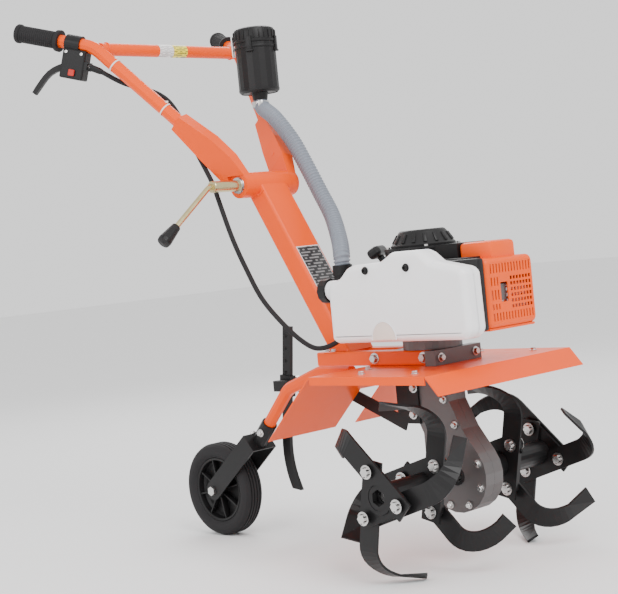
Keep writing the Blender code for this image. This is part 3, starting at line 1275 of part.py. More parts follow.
def make_air_cleaner(build):
    """Upright canister strapped beside the left handlebar, with a clipped lid and an element."""
    radius = CANISTER_RADIUS
    wall = 0.0025
    top = CANISTER_HEIGHT - LID_HEIGHT
    spout = -0.014
    body = [(radius - wall, top), (radius, top), (radius, 0.006), (radius - 0.006, 0.0), (0.0165, 0.0),
            (0.0165, -0.0001), (0.0140, spout), (0.0112, spout), (0.0112, wall), (radius - 0.008, wall),
            (radius - wall, 0.009)]
    shell = turned(body, (CANISTER[0], CANISTER[1], CANISTER_LOW), "Z", 20, closed=True)
    axis = Vector((CANISTER[0], CANISTER[1], SADDLE_Z))
    share = (BAR_BEND[2] - SADDLE_Z) / (BAR_BEND[2] - BAR_FOOT.z)
    tube_point = Vector(BAR_BEND).lerp(BAR_FOOT, share)
    reach = tube_point - axis
    start = radius - 0.0015
    length = reach.length - 0.010 - start
    saddle = box((length, 0.022, 0.026), (0, 0, 0))
    turn = Matrix.Rotation(math.atan2(reach.y, reach.x), 4, "Z")
    saddle.matrix_world = Matrix.Translation(axis + reach.normalized() * (start + length / 2)) @ turn
    tube = rod([tuple(p) for p in bar_path(1)], BAR_RADIUS + GAP, 16)
    shell = cut(join(shell, [saddle]), [tube])
    keep(build, shell, "air_cleaner_body", "black_plastic", "handlebar")
    low = top + GAP
    lid = [(0, CANISTER_HEIGHT), (radius - 0.004, CANISTER_HEIGHT), (radius + 0.002, CANISTER_HEIGHT - 0.006),
           (radius + 0.002, low), (radius - wall, low), (radius - wall, CANISTER_HEIGHT - 0.008),
           (0, CANISTER_HEIGHT - 0.008)]
    lid = turned(lid, (CANISTER[0], CANISTER[1], CANISTER_LOW), "Z", 20)
    keep(build, lid, "air_cleaner_lid", "black_plastic", "handlebar")
    element = ring(0.030, 0.018, 0.088, (CANISTER[0], CANISTER[1], CANISTER_LOW + 0.009 + 0.046), "Z", 20)
    keep(build, element, "filter_element", "filter_paper", "handlebar")


LATCH_ANGLE = math.radians(215.0)


LATCH_HEIGHT = 0.040


def latch_place():
    out = Vector((math.cos(LATCH_ANGLE), math.sin(LATCH_ANGLE), 0))
    centre = Vector((CANISTER[0], CANISTER[1], CANISTER_LOW + CANISTER_HEIGHT - LID_HEIGHT - 0.002))
    return centre + out * (CANISTER_RADIUS + 0.002 + GAP + 0.0022)


def make_latch(build):
    """Clip that holds the lid; it hinges at its lower end."""
    clip = bevel_edges(box((0.0036, 0.014, LATCH_HEIGHT), (0, 0, 0)), 0.001, 1)
    clip.matrix_world = Matrix.Translation(latch_place()) @ Matrix.Rotation(LATCH_ANGLE, 4, "Z")
    keep(build, clip, "lid_latch", "bright_steel", "latch")


# ---------------------------------------------------------------- hose and cable
def make_air_hose(build):
    """Corrugated hose from the canister spout down to the intake elbow."""
    top = CANISTER_LOW - 0.0145
    low = PLATE_TOP + 0.1692 + GAP
    straight = 0.006
    route = [(CANISTER[0], CANISTER[1], top - straight), (0.1190, 0.0920, 0.8190),
             (0.1640, 0.0775, 0.794), (0.2060, 0.0750, 0.748), (0.2395, 0.0717, 0.698),
             (0.2744, 0.0669, 0.643), (0.3115, 0.0542, 0.597), (0.350, 0.027, 0.552),
             (0.374, 0.004, low + 0.024), (0.377, 0.0, low + straight)]
    bends = [tuple(point) for point in smooth_path(route, 17)]
    path = [(CANISTER[0], CANISTER[1], top)] + bends + [(0.377, 0.0, low)]
    keep(build, rod(path, HOSE_RADIUS, 16), "air_hose", "hose_plastic", "root")


def make_throttle_cable(build):
    matrix = throttle_matrix()
    start = matrix @ Vector((-0.0485, 0.001, -0.038))
    after = matrix @ Vector((-0.058, 0.001, -0.038))
    route = [tuple(start), tuple(after), (0.0013, -0.1490, 0.8830), (0.0480, -0.1050, 0.8555),
             (0.0750, -0.0890, 0.8188), (0.1015, -0.0776, 0.7480), (0.1610, -0.0940, 0.6770),
             (0.1730, -0.0950, 0.6473), (0.2058, -0.1000, 0.5746), (0.2239, -0.0900, 0.5166),
             (0.2473, -0.0800, 0.4603), (0.2848, -0.0700, 0.4129), (0.3204, -0.0600, 0.3790),
             (0.3560, -0.0580, 0.3660), (0.4000, -0.0560, 0.3760), (0.4300, -0.0500, 0.4030),
             (0.4550, -0.0420, 0.4290), (0.4870, -0.0310, CYLINDER_Z)]
    cable = rod([tuple(p) for p in smooth_path(route, 38)], CABLE_RADIUS, 12)
    keep(build, cable, "throttle_cable", "black_plastic", "root")


def main():
    clear_scene()
    build = Builder()
    build.body("root")
    build.body("wheel", (0, 0, WHEEL_RADIUS))
    build.body("stake", (STAKE_TOP[0], STAKE_Y, STAKE_TOP[1]))
    build.body("stake_screw", tuple(holder_centre() + Vector((0, 0, STAKE_SCREW_RISE))))
    build.body("rotor", (AXLE_X, 0, AXLE_Z))
    build.body("drive", (CRANK_X, 0, BLOCK_TOP))
    build.body("crank", (CRANK_X, 0, CYLINDER_Z))
    build.body("piston", (CRANK_X, 0, CYLINDER_Z))
    build.body("fuel_cap", (TANK_X[0], FILLER[1], PLATE_TOP + FILLER[2]))
    build.body("recoil", (CRANK_X, 0, FAN_TOP))
    build.body("handlebar", PIVOT)
    build.body("clamp", PIVOT)
    build.body("throttle", tuple(throttle_matrix() @ Vector(LEVER_PIVOT)))
    build.body("switch", tuple(throttle_matrix() @ Vector(SWITCH)))
    build.body("latch", tuple(latch_place() - Vector((0, 0, LATCH_HEIGHT / 2 - 0.002))))
    for make in (make_tyre, make_wheel_rim, make_wheel_fork, make_rear_pipe, make_depth_stake,
                 make_stake_holder, make_fender, make_rails, make_column,
                 make_case_halves, make_gearbox_block, make_fender_stay,
                 make_bearings, make_rotor_shaft, make_worm_wheel, make_hubs, make_tines,
                 make_worm_shaft, make_crank, make_crankcase, make_cylinder,
                 make_piston, make_engine_cover, make_muffler, make_fan_housing, make_fuel_tank,
                 make_carburettor, make_pull_handle, make_handlebars, make_crossbar, make_grips,
                 make_pivot_bolt, make_clamp_lever, make_throttle, make_air_cleaner, make_latch,
                 make_air_hose, make_throttle_cable):
        make(build)


main()
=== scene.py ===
# %% [markdown]
# # A petrol mini tiller
#
# The machine stands on a transport wheel and on its tine tips.  A small two-stroke engine with
# an upright crank sits on a worm gearbox.  The handlebars fold at a clamp, and the engine
# breathes through a long hose from a canister high on the handlebar, out of the dust.
#
# Each cell adds one group of pieces to the model, or one group of finishes.

# %% Load the model
import json
import math

import bmesh
import bpy
from mathutils import Matrix, Vector


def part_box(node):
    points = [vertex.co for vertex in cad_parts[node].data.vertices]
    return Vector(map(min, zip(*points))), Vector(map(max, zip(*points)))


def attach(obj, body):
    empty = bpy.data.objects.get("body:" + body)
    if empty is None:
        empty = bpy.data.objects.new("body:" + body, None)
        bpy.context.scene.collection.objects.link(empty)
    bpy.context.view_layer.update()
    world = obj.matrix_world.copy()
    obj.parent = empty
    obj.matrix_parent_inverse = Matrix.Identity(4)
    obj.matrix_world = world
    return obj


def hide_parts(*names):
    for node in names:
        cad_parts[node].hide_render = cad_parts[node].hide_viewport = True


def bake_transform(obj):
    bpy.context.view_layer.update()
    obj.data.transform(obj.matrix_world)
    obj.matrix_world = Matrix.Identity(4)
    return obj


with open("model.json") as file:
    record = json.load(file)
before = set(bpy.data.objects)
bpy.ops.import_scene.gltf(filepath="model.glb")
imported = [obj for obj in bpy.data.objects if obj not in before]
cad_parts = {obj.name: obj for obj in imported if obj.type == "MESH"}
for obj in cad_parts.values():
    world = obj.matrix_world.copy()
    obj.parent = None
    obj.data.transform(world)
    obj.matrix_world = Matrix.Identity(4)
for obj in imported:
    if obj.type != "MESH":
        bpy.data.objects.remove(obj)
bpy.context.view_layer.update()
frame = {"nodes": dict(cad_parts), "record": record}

# %% [markdown]
# ## Places on the machine
#
# The maker sets the machine out from the wheel's axle: x forward, z up from the ground.  The
# model's own frame starts at the middle of its box, so one shift turns one into the other.
# Heights that many pieces share are read from the model: the fender's top, the tine axle and
# the crank.

# %% Driving dimensions
SHIFT = 0.288
FENDER_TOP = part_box("fender")[1][2]
AXLE = (Vector(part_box("rotor_shaft")[0]) + Vector(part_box("rotor_shaft")[1])) / 2
WHEEL = (Vector(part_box("tyre")[0]) + Vector(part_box("tyre")[1])) / 2
CRANK_X = (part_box("crankshaft")[0][0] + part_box("crankshaft")[1][0]) / 2
BAR_FOOT = (0.166, 0.0738, 0.7225)
BAR_BEND = (-0.034, 0.182, 0.955)
BAR_END = (-0.168, 0.252, 1.001)
PIVOT = (0.200, 0.0, 0.668)
LEAN = math.radians(30.2)


def at(x, y, z):
    """A point given from the wheel's axle and the ground."""
    return Vector((x - SHIFT, y, z))


print("fender top", round(FENDER_TOP, 4), "axle", [round(v, 4) for v in AXLE])

# %% [markdown]
# ## The viewpoint
#
# The camera looks from ahead and to the machine's right, from a little over two and a half
# metres, slightly downwards.  It is rolled by a few degrees, so the ground slopes a little in its view.

# %% Camera
CAMERA_PLACE = (1.883, -1.866, 0.551)
CAMERA_TURN = math.radians(45.29)
CAMERA_DOWN = math.radians(2.09)
CAMERA_ROLL = math.radians(5.616)
CAMERA_LENS = 85.2


def make_camera():
    level = Vector((math.cos(CAMERA_TURN), math.sin(CAMERA_TURN), 0.0))
    ahead = Vector((-math.sin(CAMERA_TURN) * math.cos(CAMERA_DOWN),
                    math.cos(CAMERA_TURN) * math.cos(CAMERA_DOWN), -math.sin(CAMERA_DOWN)))
    down = ahead.cross(level)
    right = level * math.cos(CAMERA_ROLL) + down * math.sin(CAMERA_ROLL)
    below = down * math.cos(CAMERA_ROLL) - level * math.sin(CAMERA_ROLL)
    lens = bpy.data.cameras.new("camera")
    lens.lens = CAMERA_LENS
    lens.sensor_width = 36.0
    lens.sensor_fit = "HORIZONTAL"
    camera = bpy.data.objects.new("camera", lens)
    turn = Matrix((right, -below, -ahead)).transposed().to_4x4()
    camera.matrix_world = Matrix.Translation(CAMERA_PLACE) @ turn
    bpy.context.scene.collection.objects.link(camera)
    bpy.context.scene.camera = camera
    return camera


camera = make_camera()
print("camera", [round(v, 3) for v in camera.location])

# %% [markdown]
# ## Material arithmetic
#
# Every finish is made from the same few parts: places on the piece, noise at some size, and
# arithmetic on both.  The class below wraps one value of a material so that ordinary signs work
# on it.  Everything else goes through one method that makes a node: its type, its settings, and
# then its inputs.


# %% Values and finishes
class Value:
    """One value inside a finish."""

    def __init__(self, finish, socket):
        self.finish = finish
        self.socket = socket

    def __add__(self, other):
        return self.finish.math("ADD", self, other)

    def __radd__(self, other):
        return self.finish.math("ADD", other, self)

    def __sub__(self, other):
        return self.finish.math("SUBTRACT", self, other)

    def __rsub__(self, other):
        return self.finish.math("SUBTRACT", other, self)

    def __mul__(self, other):
        return self.finish.math("MULTIPLY", self, other)

    def __rmul__(self, other):
        return self.finish.math("MULTIPLY", other, self)

    def __truediv__(self, other):
        return self.finish.math("DIVIDE", self, other)

    def __rtruediv__(self, other):
        return self.finish.math("DIVIDE", other, self)

    def above(self, other):
        return self.finish.math("GREATER_THAN", self, other)

    def wave(self):
        return self.finish.math("SINE", self)

    def fraction(self):
        return self.finish.math("FRACT", self)

    def clamp(self):
        return self.finish.math("MINIMUM", self.finish.math("MAXIMUM", self, 0.0), 1.0)


class Finish:
    """A material with one Principled shader."""

    def __init__(self, name, **constants):
        self.material = bpy.data.materials.new(name)
        self.material.use_nodes = True
        self.tree = self.material.node_tree
        self.shader = self.tree.nodes["Principled BSDF"]
        self.give(**constants)
        self.place = self.node("ShaderNodeTexCoord").outputs["Object"]

    def feed(self, socket, value):
        if isinstance(value, Value):
            self.tree.links.new(value.socket, socket)
        elif isinstance(value, bpy.types.NodeSocket):
            self.tree.links.new(value, socket)
        else:
            socket.default_value = value

    def give(self, **inputs):
        """Set the shader's inputs; an underscore stands for a space."""
        for name, value in inputs.items():
            self.feed(self.shader.inputs[name.replace("_", " ")], value)

    def node(self, kind, settings=(), inputs=()):
        made = self.tree.nodes.new(kind)
        for name, value in dict(settings).items():
            setattr(made, name, value)
        for name, value in dict(inputs).items():
            self.feed(made.inputs[name], value)
        return made

    def math(self, operation, *values):
        made = self.node("ShaderNodeMath", {"operation": operation}, dict(enumerate(values)))
        return Value(self, made.outputs["Value"])

    def axis(self, name):
        split = self.node("ShaderNodeSeparateXYZ", (), {"Vector": self.place})
        return Value(self, split.outputs[name])

    def stretched(self, scale):
        made = self.node("ShaderNodeVectorMath", {"operation": "MULTIPLY"}, {0: self.place, 1: scale})
        return made.outputs["Vector"]

    def noise(self, scale, detail=2.0, place=None, roughness=0.5):
        made = self.node("ShaderNodeTexNoise", (), {"Vector": place or self.place, "Scale": scale,
                                                    "Detail": detail, "Roughness": roughness})
        return Value(self, made.outputs["Fac"])

    def cells(self, scale):
        made = self.node("ShaderNodeTexVoronoi", (), {"Vector": self.place, "Scale": scale})
        return Value(self, made.outputs["Distance"])

    def blend(self, share, first, second):
        made = self.node("ShaderNodeMix", {"data_type": "RGBA"})
        self.feed(made.inputs["Factor"], share)
        for index, colour in ((6, first), (7, second)):
            linked = isinstance(colour, bpy.types.NodeSocket)
            self.feed(made.inputs[index], colour if linked else (*colour, 1.0))
        return made.outputs[2]

    def bump(self, height, strength, distance):
        made = self.node("ShaderNodeBump", (), {"Height": height, "Strength": strength,
                                                "Distance": distance})
        self.give(Normal=made.outputs["Normal"])


def darker(colour, share):
    return tuple(value * share for value in colour)


print("values and finishes ready")

# %% [markdown]
# ## Finishes
#
# The sheet and tube parts are powder coated orange, which leaves a fine skin like orange peel.
# The engine cover is orange nylon with a moulded grain.  The castings are as they leave the die:
# grey, grainy and a little uneven.  The fastenings are zinc plated, and the clamp lever has the
# yellow passivation that drifts between gold and green.

# %% Make the finishes
ORANGE = (0.92, 0.088, 0.0)
BLACK = (0.010, 0.0095, 0.010)
GREY = (0.011, 0.0105, 0.011)


def coated(name, colour, roughness, grain=700.0, depth=0.00012, coat=0.03):
    """Powder coat: slow drift in tone and gloss, and a fine peel."""
    finish = Finish(name, Specular_IOR_Level=0.22, Coat_Weight=coat, Coat_Roughness=0.18)
    drift = finish.noise(9.0, 3.0)
    cloud = finish.noise(60.0, 4.0)
    finish.give(Base_Color=finish.blend((drift * 0.7 + cloud * 0.3).clamp(), darker(colour, 0.90), colour))
    finish.give(Roughness=roughness + (cloud - 0.5) * 0.16)
    finish.bump(finish.noise(grain, 2.0) + cloud * 0.5, 0.12, depth)
    return finish.material


def moulded(name, colour, roughness, grain=1800.0, depth=0.0002):
    """Moulded plastic: a spark-eroded grain with faint flow marks."""
    finish = Finish(name, Specular_IOR_Level=0.25)
    flow = finish.noise(14.0, 3.0, finish.stretched((1.0, 1.0, 0.25)))
    pits = finish.cells(grain)
    finish.give(Base_Color=finish.blend(flow, darker(colour, 0.85), colour))
    finish.give(Roughness=roughness + (flow - 0.5) * 0.20)
    finish.bump(pits + finish.noise(grain * 0.4, 2.0) * 0.5, 0.18, depth)
    return finish.material


def cast(name, colour):
    """Die-cast alloy: a grain of two sizes and darker clouds where the die was cooler."""
    finish = Finish(name, Metallic=0.75)
    clouds = finish.noise(24.0, 5.0, roughness=0.65)
    grain = finish.noise(900.0, 3.0)
    specks = finish.cells(420.0)
    finish.give(Base_Color=finish.blend((clouds * 0.8 + grain * 0.2).clamp(), darker(colour, 0.62), colour))
    finish.give(Roughness=0.48 + (clouds - 0.5) * 0.25 + (grain - 0.5) * 0.12)
    finish.bump(grain + specks * 0.6, 0.35, 0.0004)
    return finish.material


def drawn(name, colour, roughness=0.28, stretch=(900.0, 60.0, 900.0)):
    """Drawn or ground steel: streaks along the work."""
    finish = Finish(name, Metallic=1.0)
    streaks = finish.noise(1.0, 3.0, finish.stretched(stretch))
    stain = finish.noise(35.0, 3.0)
    finish.give(Base_Color=finish.blend(stain, darker(colour, 0.80), colour))
    finish.give(Roughness=roughness + (streaks - 0.5) * 0.18 + (stain - 0.5) * 0.10)
    finish.bump(streaks, 0.10, 0.0001)
    return finish.material


def passivated(name):
    """Yellow zinc: gold that drifts to green and rose in thin films."""
    finish = Finish(name, Metallic=1.0)
    film = finish.noise(55.0, 4.0)
    tint = finish.noise(20.0, 2.0)
    gold = finish.blend(film, (0.50, 0.39, 0.17), (0.72, 0.60, 0.36))
    finish.give(Base_Color=finish.blend(tint * 0.35, gold, (0.50, 0.55, 0.34)))
    finish.give(Roughness=0.26 + (film - 0.5) * 0.22)
    finish.bump(finish.noise(1400.0, 2.0), 0.10, 0.0001)
    return finish.material


def rubbery(name, colour, roughness=0.72):
    """Rubber: matt, with bloom that greys it in clouds."""
    finish = Finish(name, Specular_IOR_Level=0.22)
    bloom = finish.noise(30.0, 5.0, roughness=0.6)
    finish.give(Base_Color=finish.blend(bloom, darker(colour, 0.75), darker(colour, 1.35)))
    finish.give(Roughness=roughness + (bloom - 0.5) * 0.20)
    finish.bump(finish.noise(1500.0, 3.0), 0.25, 0.0003)
    return finish.material


def blown(name, colour):
    """Blow-moulded white plastic, slightly see-through: thick and thin areas differ in tone."""
    finish = Finish(name, Subsurface_Weight=0.25, Subsurface_Radius=(0.012, 0.011, 0.010),
                    Subsurface_Scale=0.6, Coat_Weight=0.10)
    wall = finish.noise(11.0, 3.0)
    skin = finish.noise(500.0, 3.0)
    finish.give(Base_Color=finish.blend(wall, darker(colour, 0.93), colour))
    finish.give(Roughness=0.38 + (wall - 0.5) * 0.12 + (skin - 0.5) * 0.08)
    finish.bump(skin, 0.12, 0.0003)
    return finish.material


def pleated(name):
    """Filter paper: fine fibres over a warm ground."""
    finish = Finish(name, Roughness=0.92)
    fibre = finish.noise(1.0, 4.0, finish.stretched((1600.0, 1600.0, 300.0)))
    finish.give(Base_Color=finish.blend(fibre, (0.40, 0.33, 0.19), (0.62, 0.54, 0.36)))
    finish.bump(fibre, 0.4, 0.0004)
    return finish.material


finishes = {
    "orange_paint": coated("orange_paint", ORANGE, 0.34),
    "orange_plastic": moulded("orange_plastic", (0.94, 0.096, 0.0), 0.42, 1400.0, 0.00015),
    "black_paint": coated("black_paint", GREY, 0.38, 900.0, 0.0002, 0.05),
    "black_plastic": moulded("black_plastic", BLACK, 0.42),
    "rubber": rubbery("rubber", (0.018, 0.017, 0.018)),
    "grip_rubber": rubbery("grip_rubber", (0.015, 0.014, 0.015), 0.62),
    "cast_metal": cast("cast_metal", (0.17, 0.158, 0.158)),
    "bright_steel": drawn("bright_steel", (0.68, 0.67, 0.66)),
    "yellow_zinc": passivated("yellow_zinc"),
    "tank_plastic": blown("tank_plastic", (0.93, 0.915, 0.925)),
    "hose_plastic": moulded("hose_plastic", (0.22, 0.24, 0.28), 0.38, 900.0),
    "brass": drawn("brass", (0.70, 0.50, 0.20), 0.32),
    "filter_paper": pleated("filter_paper"),
    "red_plastic": moulded("red_plastic", (0.55, 0.03, 0.02), 0.38),
}
for entry in frame["record"]["subparts"]:
    node = frame["nodes"][entry["node"]]
    node.data.materials.clear()
    node.data.materials.append(finishes[entry["material_slot"]])
print("finishes", len(finishes))

# %% [markdown]
# ## Small tools
#
# Most pieces are one of five shapes: a profile turned about an axis, a tube along a route, a flat
# outline with rounded edges, a plain block, or a bolt.  Each tool makes the mesh in place, in
# metres, gives it a finish and lets it ride on a body.


# %% Shape tools
def add_piece(name, mesh, finish, body, smooth=35.0):
    piece = bpy.data.objects.new(name, mesh)
    bpy.context.scene.collection.objects.link(piece)
    mesh.materials.clear()
    mesh.materials.append(finishes[finish])
    mesh.shade_smooth()
    mesh.set_sharp_from_angle(angle=math.radians(smooth))
    if body:
        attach(piece, body)
    return piece


def mesh_of(work, name):
    bmesh.ops.recalc_face_normals(work, faces=work.faces)
    mesh = bpy.data.meshes.new(name)
    work.to_mesh(mesh)
    work.free()
    return mesh


def toward(place, along):
    """Local +Z runs along a direction, from a place."""
    turn = Vector(along).to_track_quat("Z", "Y").to_matrix().to_4x4()
    return Matrix.Translation(place) @ turn


def lathe(profile, place, along, sides=48, closed=True):
    """A mesh: (radius, height) points turned about a direction."""
    work = bmesh.new()
    rows = []
    for step in range(sides):
        angle = 2 * math.pi * step / sides
        rows.append([work.verts.new((radius * math.cos(angle), radius * math.sin(angle), height))
                     for radius, height in profile])
    count = len(profile)
    last = count if closed else count - 1
    for first, second in zip(rows, rows[1:] + rows[:1]):
        for k in range(last):
            n = (k + 1) % count
            work.faces.new((first[k], first[n], second[n], second[k]))
    bmesh.ops.remove_doubles(work, verts=work.verts, dist=1e-6)
    work.transform(toward(place, along))
    return mesh_of(work, "turned")


def smooth_route(points, spacing):
    """Evenly spaced points on a Catmull-Rom curve through the given points."""
    places = [Vector(p) for p in points]
    places = [2 * places[0] - places[1]] + places + [2 * places[-1] - places[-2]]
    dense = []
    for a, b, c, d in zip(places, places[1:], places[2:], places[3:]):
        for step in range(40):
            t = step / 40
            dense.append(0.5 * (2 * b + (c - a) * t + (2 * a - 5 * b + 4 * c - d) * t ** 2
                                + (3 * b - a - 3 * c + d) * t ** 3))
    dense.append(places[-2])
    lengths = [0.0]
    for first, second in zip(dense, dense[1:]):
        lengths.append(lengths[-1] + (second - first).length)
    count = max(2, round(lengths[-1] / spacing))
    route = []
    index = 0
    for number in range(count + 1):
        wanted = lengths[-1] * number / count
        while index < len(dense) - 2 and lengths[index + 1] < wanted:
            index += 1
        share = (wanted - lengths[index]) / max(1e-9, lengths[index + 1] - lengths[index])
        route.append(dense[index].lerp(dense[index + 1], share))
    return route


def tube(route, radius, sides=16, caps=True):
    """A mesh along a route.  radius is a number, or a function of (distance, angle)."""
    work = bmesh.new()
    rows = []
    travelled = 0.0
    normal = None
    for index, point in enumerate(route):
        ahead = route[min(index + 1, len(route) - 1)]
        behind = route[max(index - 1, 0)]
        along = (ahead - behind).normalized()
        if normal is None:
            normal = along.orthogonal()
        normal = (normal - along * normal.dot(along)).normalized()
        side = along.cross(normal)
        if index:
            travelled += (point - route[index - 1]).length
        row = []
        for step in range(sides):
            angle = 2 * math.pi * step / sides
            reach = radius(travelled, angle) if callable(radius) else radius
            row.append(work.verts.new(point + (normal * math.cos(angle) + side * math.sin(angle)) * reach))
        rows.append(row)
    for first, second in zip(rows, rows[1:]):
        for k in range(sides):
            n = (k + 1) % sides
            work.faces.new((first[k], first[n], second[n], second[k]))
    if caps:
        work.faces.new(list(reversed(rows[0])))
        work.faces.new(rows[-1])
    return mesh_of(work, "tube")


def round_corners(points, radius, steps=5):
    """A closed outline whose corners are arcs."""
    outline = []
    places = [Vector(p) for p in points]
    count = len(places)
    for index, corner in enumerate(places):
        back = places[index - 1] - corner
        ahead = places[(index + 1) % count] - corner
        half = max(0.05, back.angle(ahead) / 2)
        reach = min(radius / math.tan(half), 0.45 * back.length, 0.45 * ahead.length)
        start = corner + back.normalized() * reach
        stop = corner + ahead.normalized() * reach
        for step in range(steps + 1):
            t = step / steps
            outline.append(start * (1 - t) ** 2 + corner * 2 * t * (1 - t) + stop * t ** 2)
    return [(p.x, p.y) for p in outline]


def slab(outline, thickness, edge, place, matrix, holes=(), steps=3):
    """A flat outline with rounded edges.  matrix takes its plane to the machine's."""
    curve = bpy.data.curves.new("slab", "CURVE")
    curve.dimensions = "2D"
    curve.fill_mode = "BOTH"
    curve.extrude = thickness / 2 - edge
    curve.bevel_depth = edge
    curve.bevel_resolution = steps
    curve.offset = -edge
    for points in [outline] + list(holes):
        spline = curve.splines.new("POLY")
        spline.points.add(len(points) - 1)
        for point, (across, up) in zip(spline.points, points):
            point.co = (across, up, 0.0, 1.0)
        spline.use_cyclic_u = True
    made = bpy.data.objects.new("slab", curve)
    bpy.context.scene.collection.objects.link(made)
    bpy.context.view_layer.update()
    mesh = bpy.data.meshes.new_from_object(made.evaluated_get(bpy.context.evaluated_depsgraph_get()))
    bpy.data.objects.remove(made, do_unlink=True)
    work = bmesh.new()
    work.from_mesh(mesh)
    bmesh.ops.remove_doubles(work, verts=work.verts, dist=1e-6)
    work.transform(Matrix.Translation(place) @ matrix)
    return mesh_of(work, "slab")


UPRIGHT_Y = Matrix.Rotation(math.pi / 2, 4, "X")
UPRIGHT_X = Matrix(((0, 0, 1, 0), (1, 0, 0, 0), (0, 1, 0, 0), (0, 0, 0, 1)))


def block(size, place, turn=Matrix.Identity(4), edge=0.001):
    """A block with slightly rounded edges."""
    work = bmesh.new()
    bmesh.ops.create_cube(work, size=1.0)
    bmesh.ops.scale(work, vec=Vector(size), verts=work.verts)
    if edge:
        bmesh.ops.bevel(work, geom=list(work.edges), offset=edge, segments=2, profile=0.5, affect="EDGES")
    work.transform(Matrix.Translation(place) @ turn)
    return mesh_of(work, "block")


def join_meshes(meshes):
    work = bmesh.new()
    for mesh in meshes:
        work.from_mesh(mesh)
        bpy.data.meshes.remove(mesh)
    joined = bpy.data.meshes.new("joined")
    work.to_mesh(joined)
    work.free()
    return joined


def bolt_mesh(place, along, across=0.010, height=0.005, washer=True, socket=False):
    """A hexagon head, or a round socket head, with its washer."""
    radius = across / math.sqrt(3)
    work = bmesh.new()
    sides = 24 if socket else 6
    base = 0.0012 if washer else 0.0
    top = base + height
    levels = [(radius, base), (radius, base + height * 0.82), (radius * 0.86, top)]
    if socket:
        levels += [(radius * 0.5, top), (radius * 0.5, base + height * 0.45)]
    turns = [2 * math.pi * k / sides for k in range(sides)]
    rows = [[work.verts.new((reach * math.cos(turn), reach * math.sin(turn), level)) for turn in turns]
            for reach, level in levels]
    for first, second in zip(rows, rows[1:]):
        for k in range(sides):
            n = (k + 1) % sides
            work.faces.new((first[k], first[n], second[n], second[k]))
    work.faces.new(rows[-1])
    work.faces.new(list(reversed(rows[0])))
    work.transform(toward(place, along))
    head = mesh_of(work, "head")
    if not washer:
        return head
    profile = [(0.0, 0.0), (radius * 1.35, 0.0), (radius * 1.35, 0.0010),
               (radius * 1.2, 0.0013), (0.0, 0.0013)]
    return join_meshes([head, lathe(profile, place, along, 20, closed=False)])


print("shape tools ready")

# %% [markdown]
# ## The transport wheel
#
# A solid rubber tyre with running grooves is stretched over a moulded rim.  The rim is dished,
# and eight ribs stiffen it between the hub and the seat of the tyre.


# %% Wheel
def make_tyre():
    radius = (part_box("tyre")[1][2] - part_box("tyre")[0][2]) / 2
    half = (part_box("tyre")[1][1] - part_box("tyre")[0][1]) / 2
    inner = radius - 0.027
    profile = [(inner, -0.72 * half), (inner + 0.004, -0.86 * half), (radius - 0.019, -0.97 * half),
               (radius - 0.017, -half), (radius - 0.012, -half), (radius - 0.0055, -0.90 * half),
               (radius - 0.002, -0.74 * half), (radius - 0.0006, -0.60 * half)]
    grooves = (-0.46, -0.16, 0.16, 0.46)
    for middle in grooves:
        for offset, deep in ((-0.060, 0.0), (-0.045, 0.0022), (0.045, 0.0022), (0.060, 0.0)):
            profile.append((radius - deep, (middle + offset) * half))
    profile += [(radius - 0.0006, 0.60 * half), (radius - 0.002, 0.74 * half),
                (radius - 0.0055, 0.90 * half), (radius - 0.012, half), (radius - 0.017, half),
                (radius - 0.019, 0.97 * half), (inner + 0.004, 0.86 * half), (inner, 0.72 * half)]
    tyre = add_piece("tyre_with_grooves", lathe(profile, WHEEL, (0, 1, 0), 96), "rubber", "wheel", 25.0)
    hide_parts("tyre")


def make_rim():
    outer = (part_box("wheel_rim")[1][2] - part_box("wheel_rim")[0][2]) / 2
    profile = [(0.0055, 0.022), (0.0125, 0.0225), (0.0140, 0.021), (0.0150, 0.004), (0.0185, 0.0022),
               (outer - 0.012, 0.0022), (outer - 0.0075, 0.0060), (outer - 0.0050, 0.0160),
               (outer - 0.0012, 0.0175), (outer, 0.0165)]
    ring = profile + [(radius, -height) for radius, height in reversed(profile)]
    pieces = [lathe(ring, WHEEL, (0, 1, 0), 72)]
    for number in range(8):
        for side in (-1, 1):
            angle = math.radians(45 * number + 12)
            reach = (0.013 + outer - 0.006) / 2
            centre = WHEEL + Vector((reach * math.cos(angle), side * 0.0085, reach * math.sin(angle)))
            turn = Matrix.Rotation(-angle, 4, "Y")
            pieces.append(block((outer - 0.018, 0.013, 0.0035), centre, turn, 0.0008))
    rim = add_piece("rim_with_ribs", join_meshes(pieces), "black_plastic", "wheel")
    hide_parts("wheel_rim")


make_tyre()
make_rim()
print("wheel centre", [round(v, 4) for v in WHEEL])

# %% [markdown]
# ## The fuel tank
#
# The tank is blow moulded, so every edge is a soft radius.  It hangs on the engine's right side
# from two screws near its upper edge.  A shallow pocket low on its face clears the fuel pipe.


# %% Tank
TANK_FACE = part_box("fuel_tank")[0][1]
TANK_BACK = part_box("fuel_tank")[1][1]


def tank_outline():
    top = FENDER_TOP
    low = FENDER_TOP + 0.048
    left, right = 0.460 - SHIFT, 0.757 - SHIFT
    points = [(left, low + 0.006), (left + 0.010, low), (right - 0.012, low), (right, low + 0.012),
              (right - 0.002, top + 0.152), (right - 0.010, top + 0.160), (0.690 - SHIFT, top + 0.172),
              (0.672 - SHIFT, top + 0.187), (0.660 - SHIFT, top + 0.192), (0.606 - SHIFT, top + 0.192),
              (0.592 - SHIFT, top + 0.184), (0.580 - SHIFT, top + 0.178), (0.520 - SHIFT, top + 0.176),
              (0.506 - SHIFT, top + 0.172), (0.488 - SHIFT, top + 0.156), (left + 0.008, top + 0.150),
              (left, top + 0.142)]
    return round_corners(points, 0.018, 6)


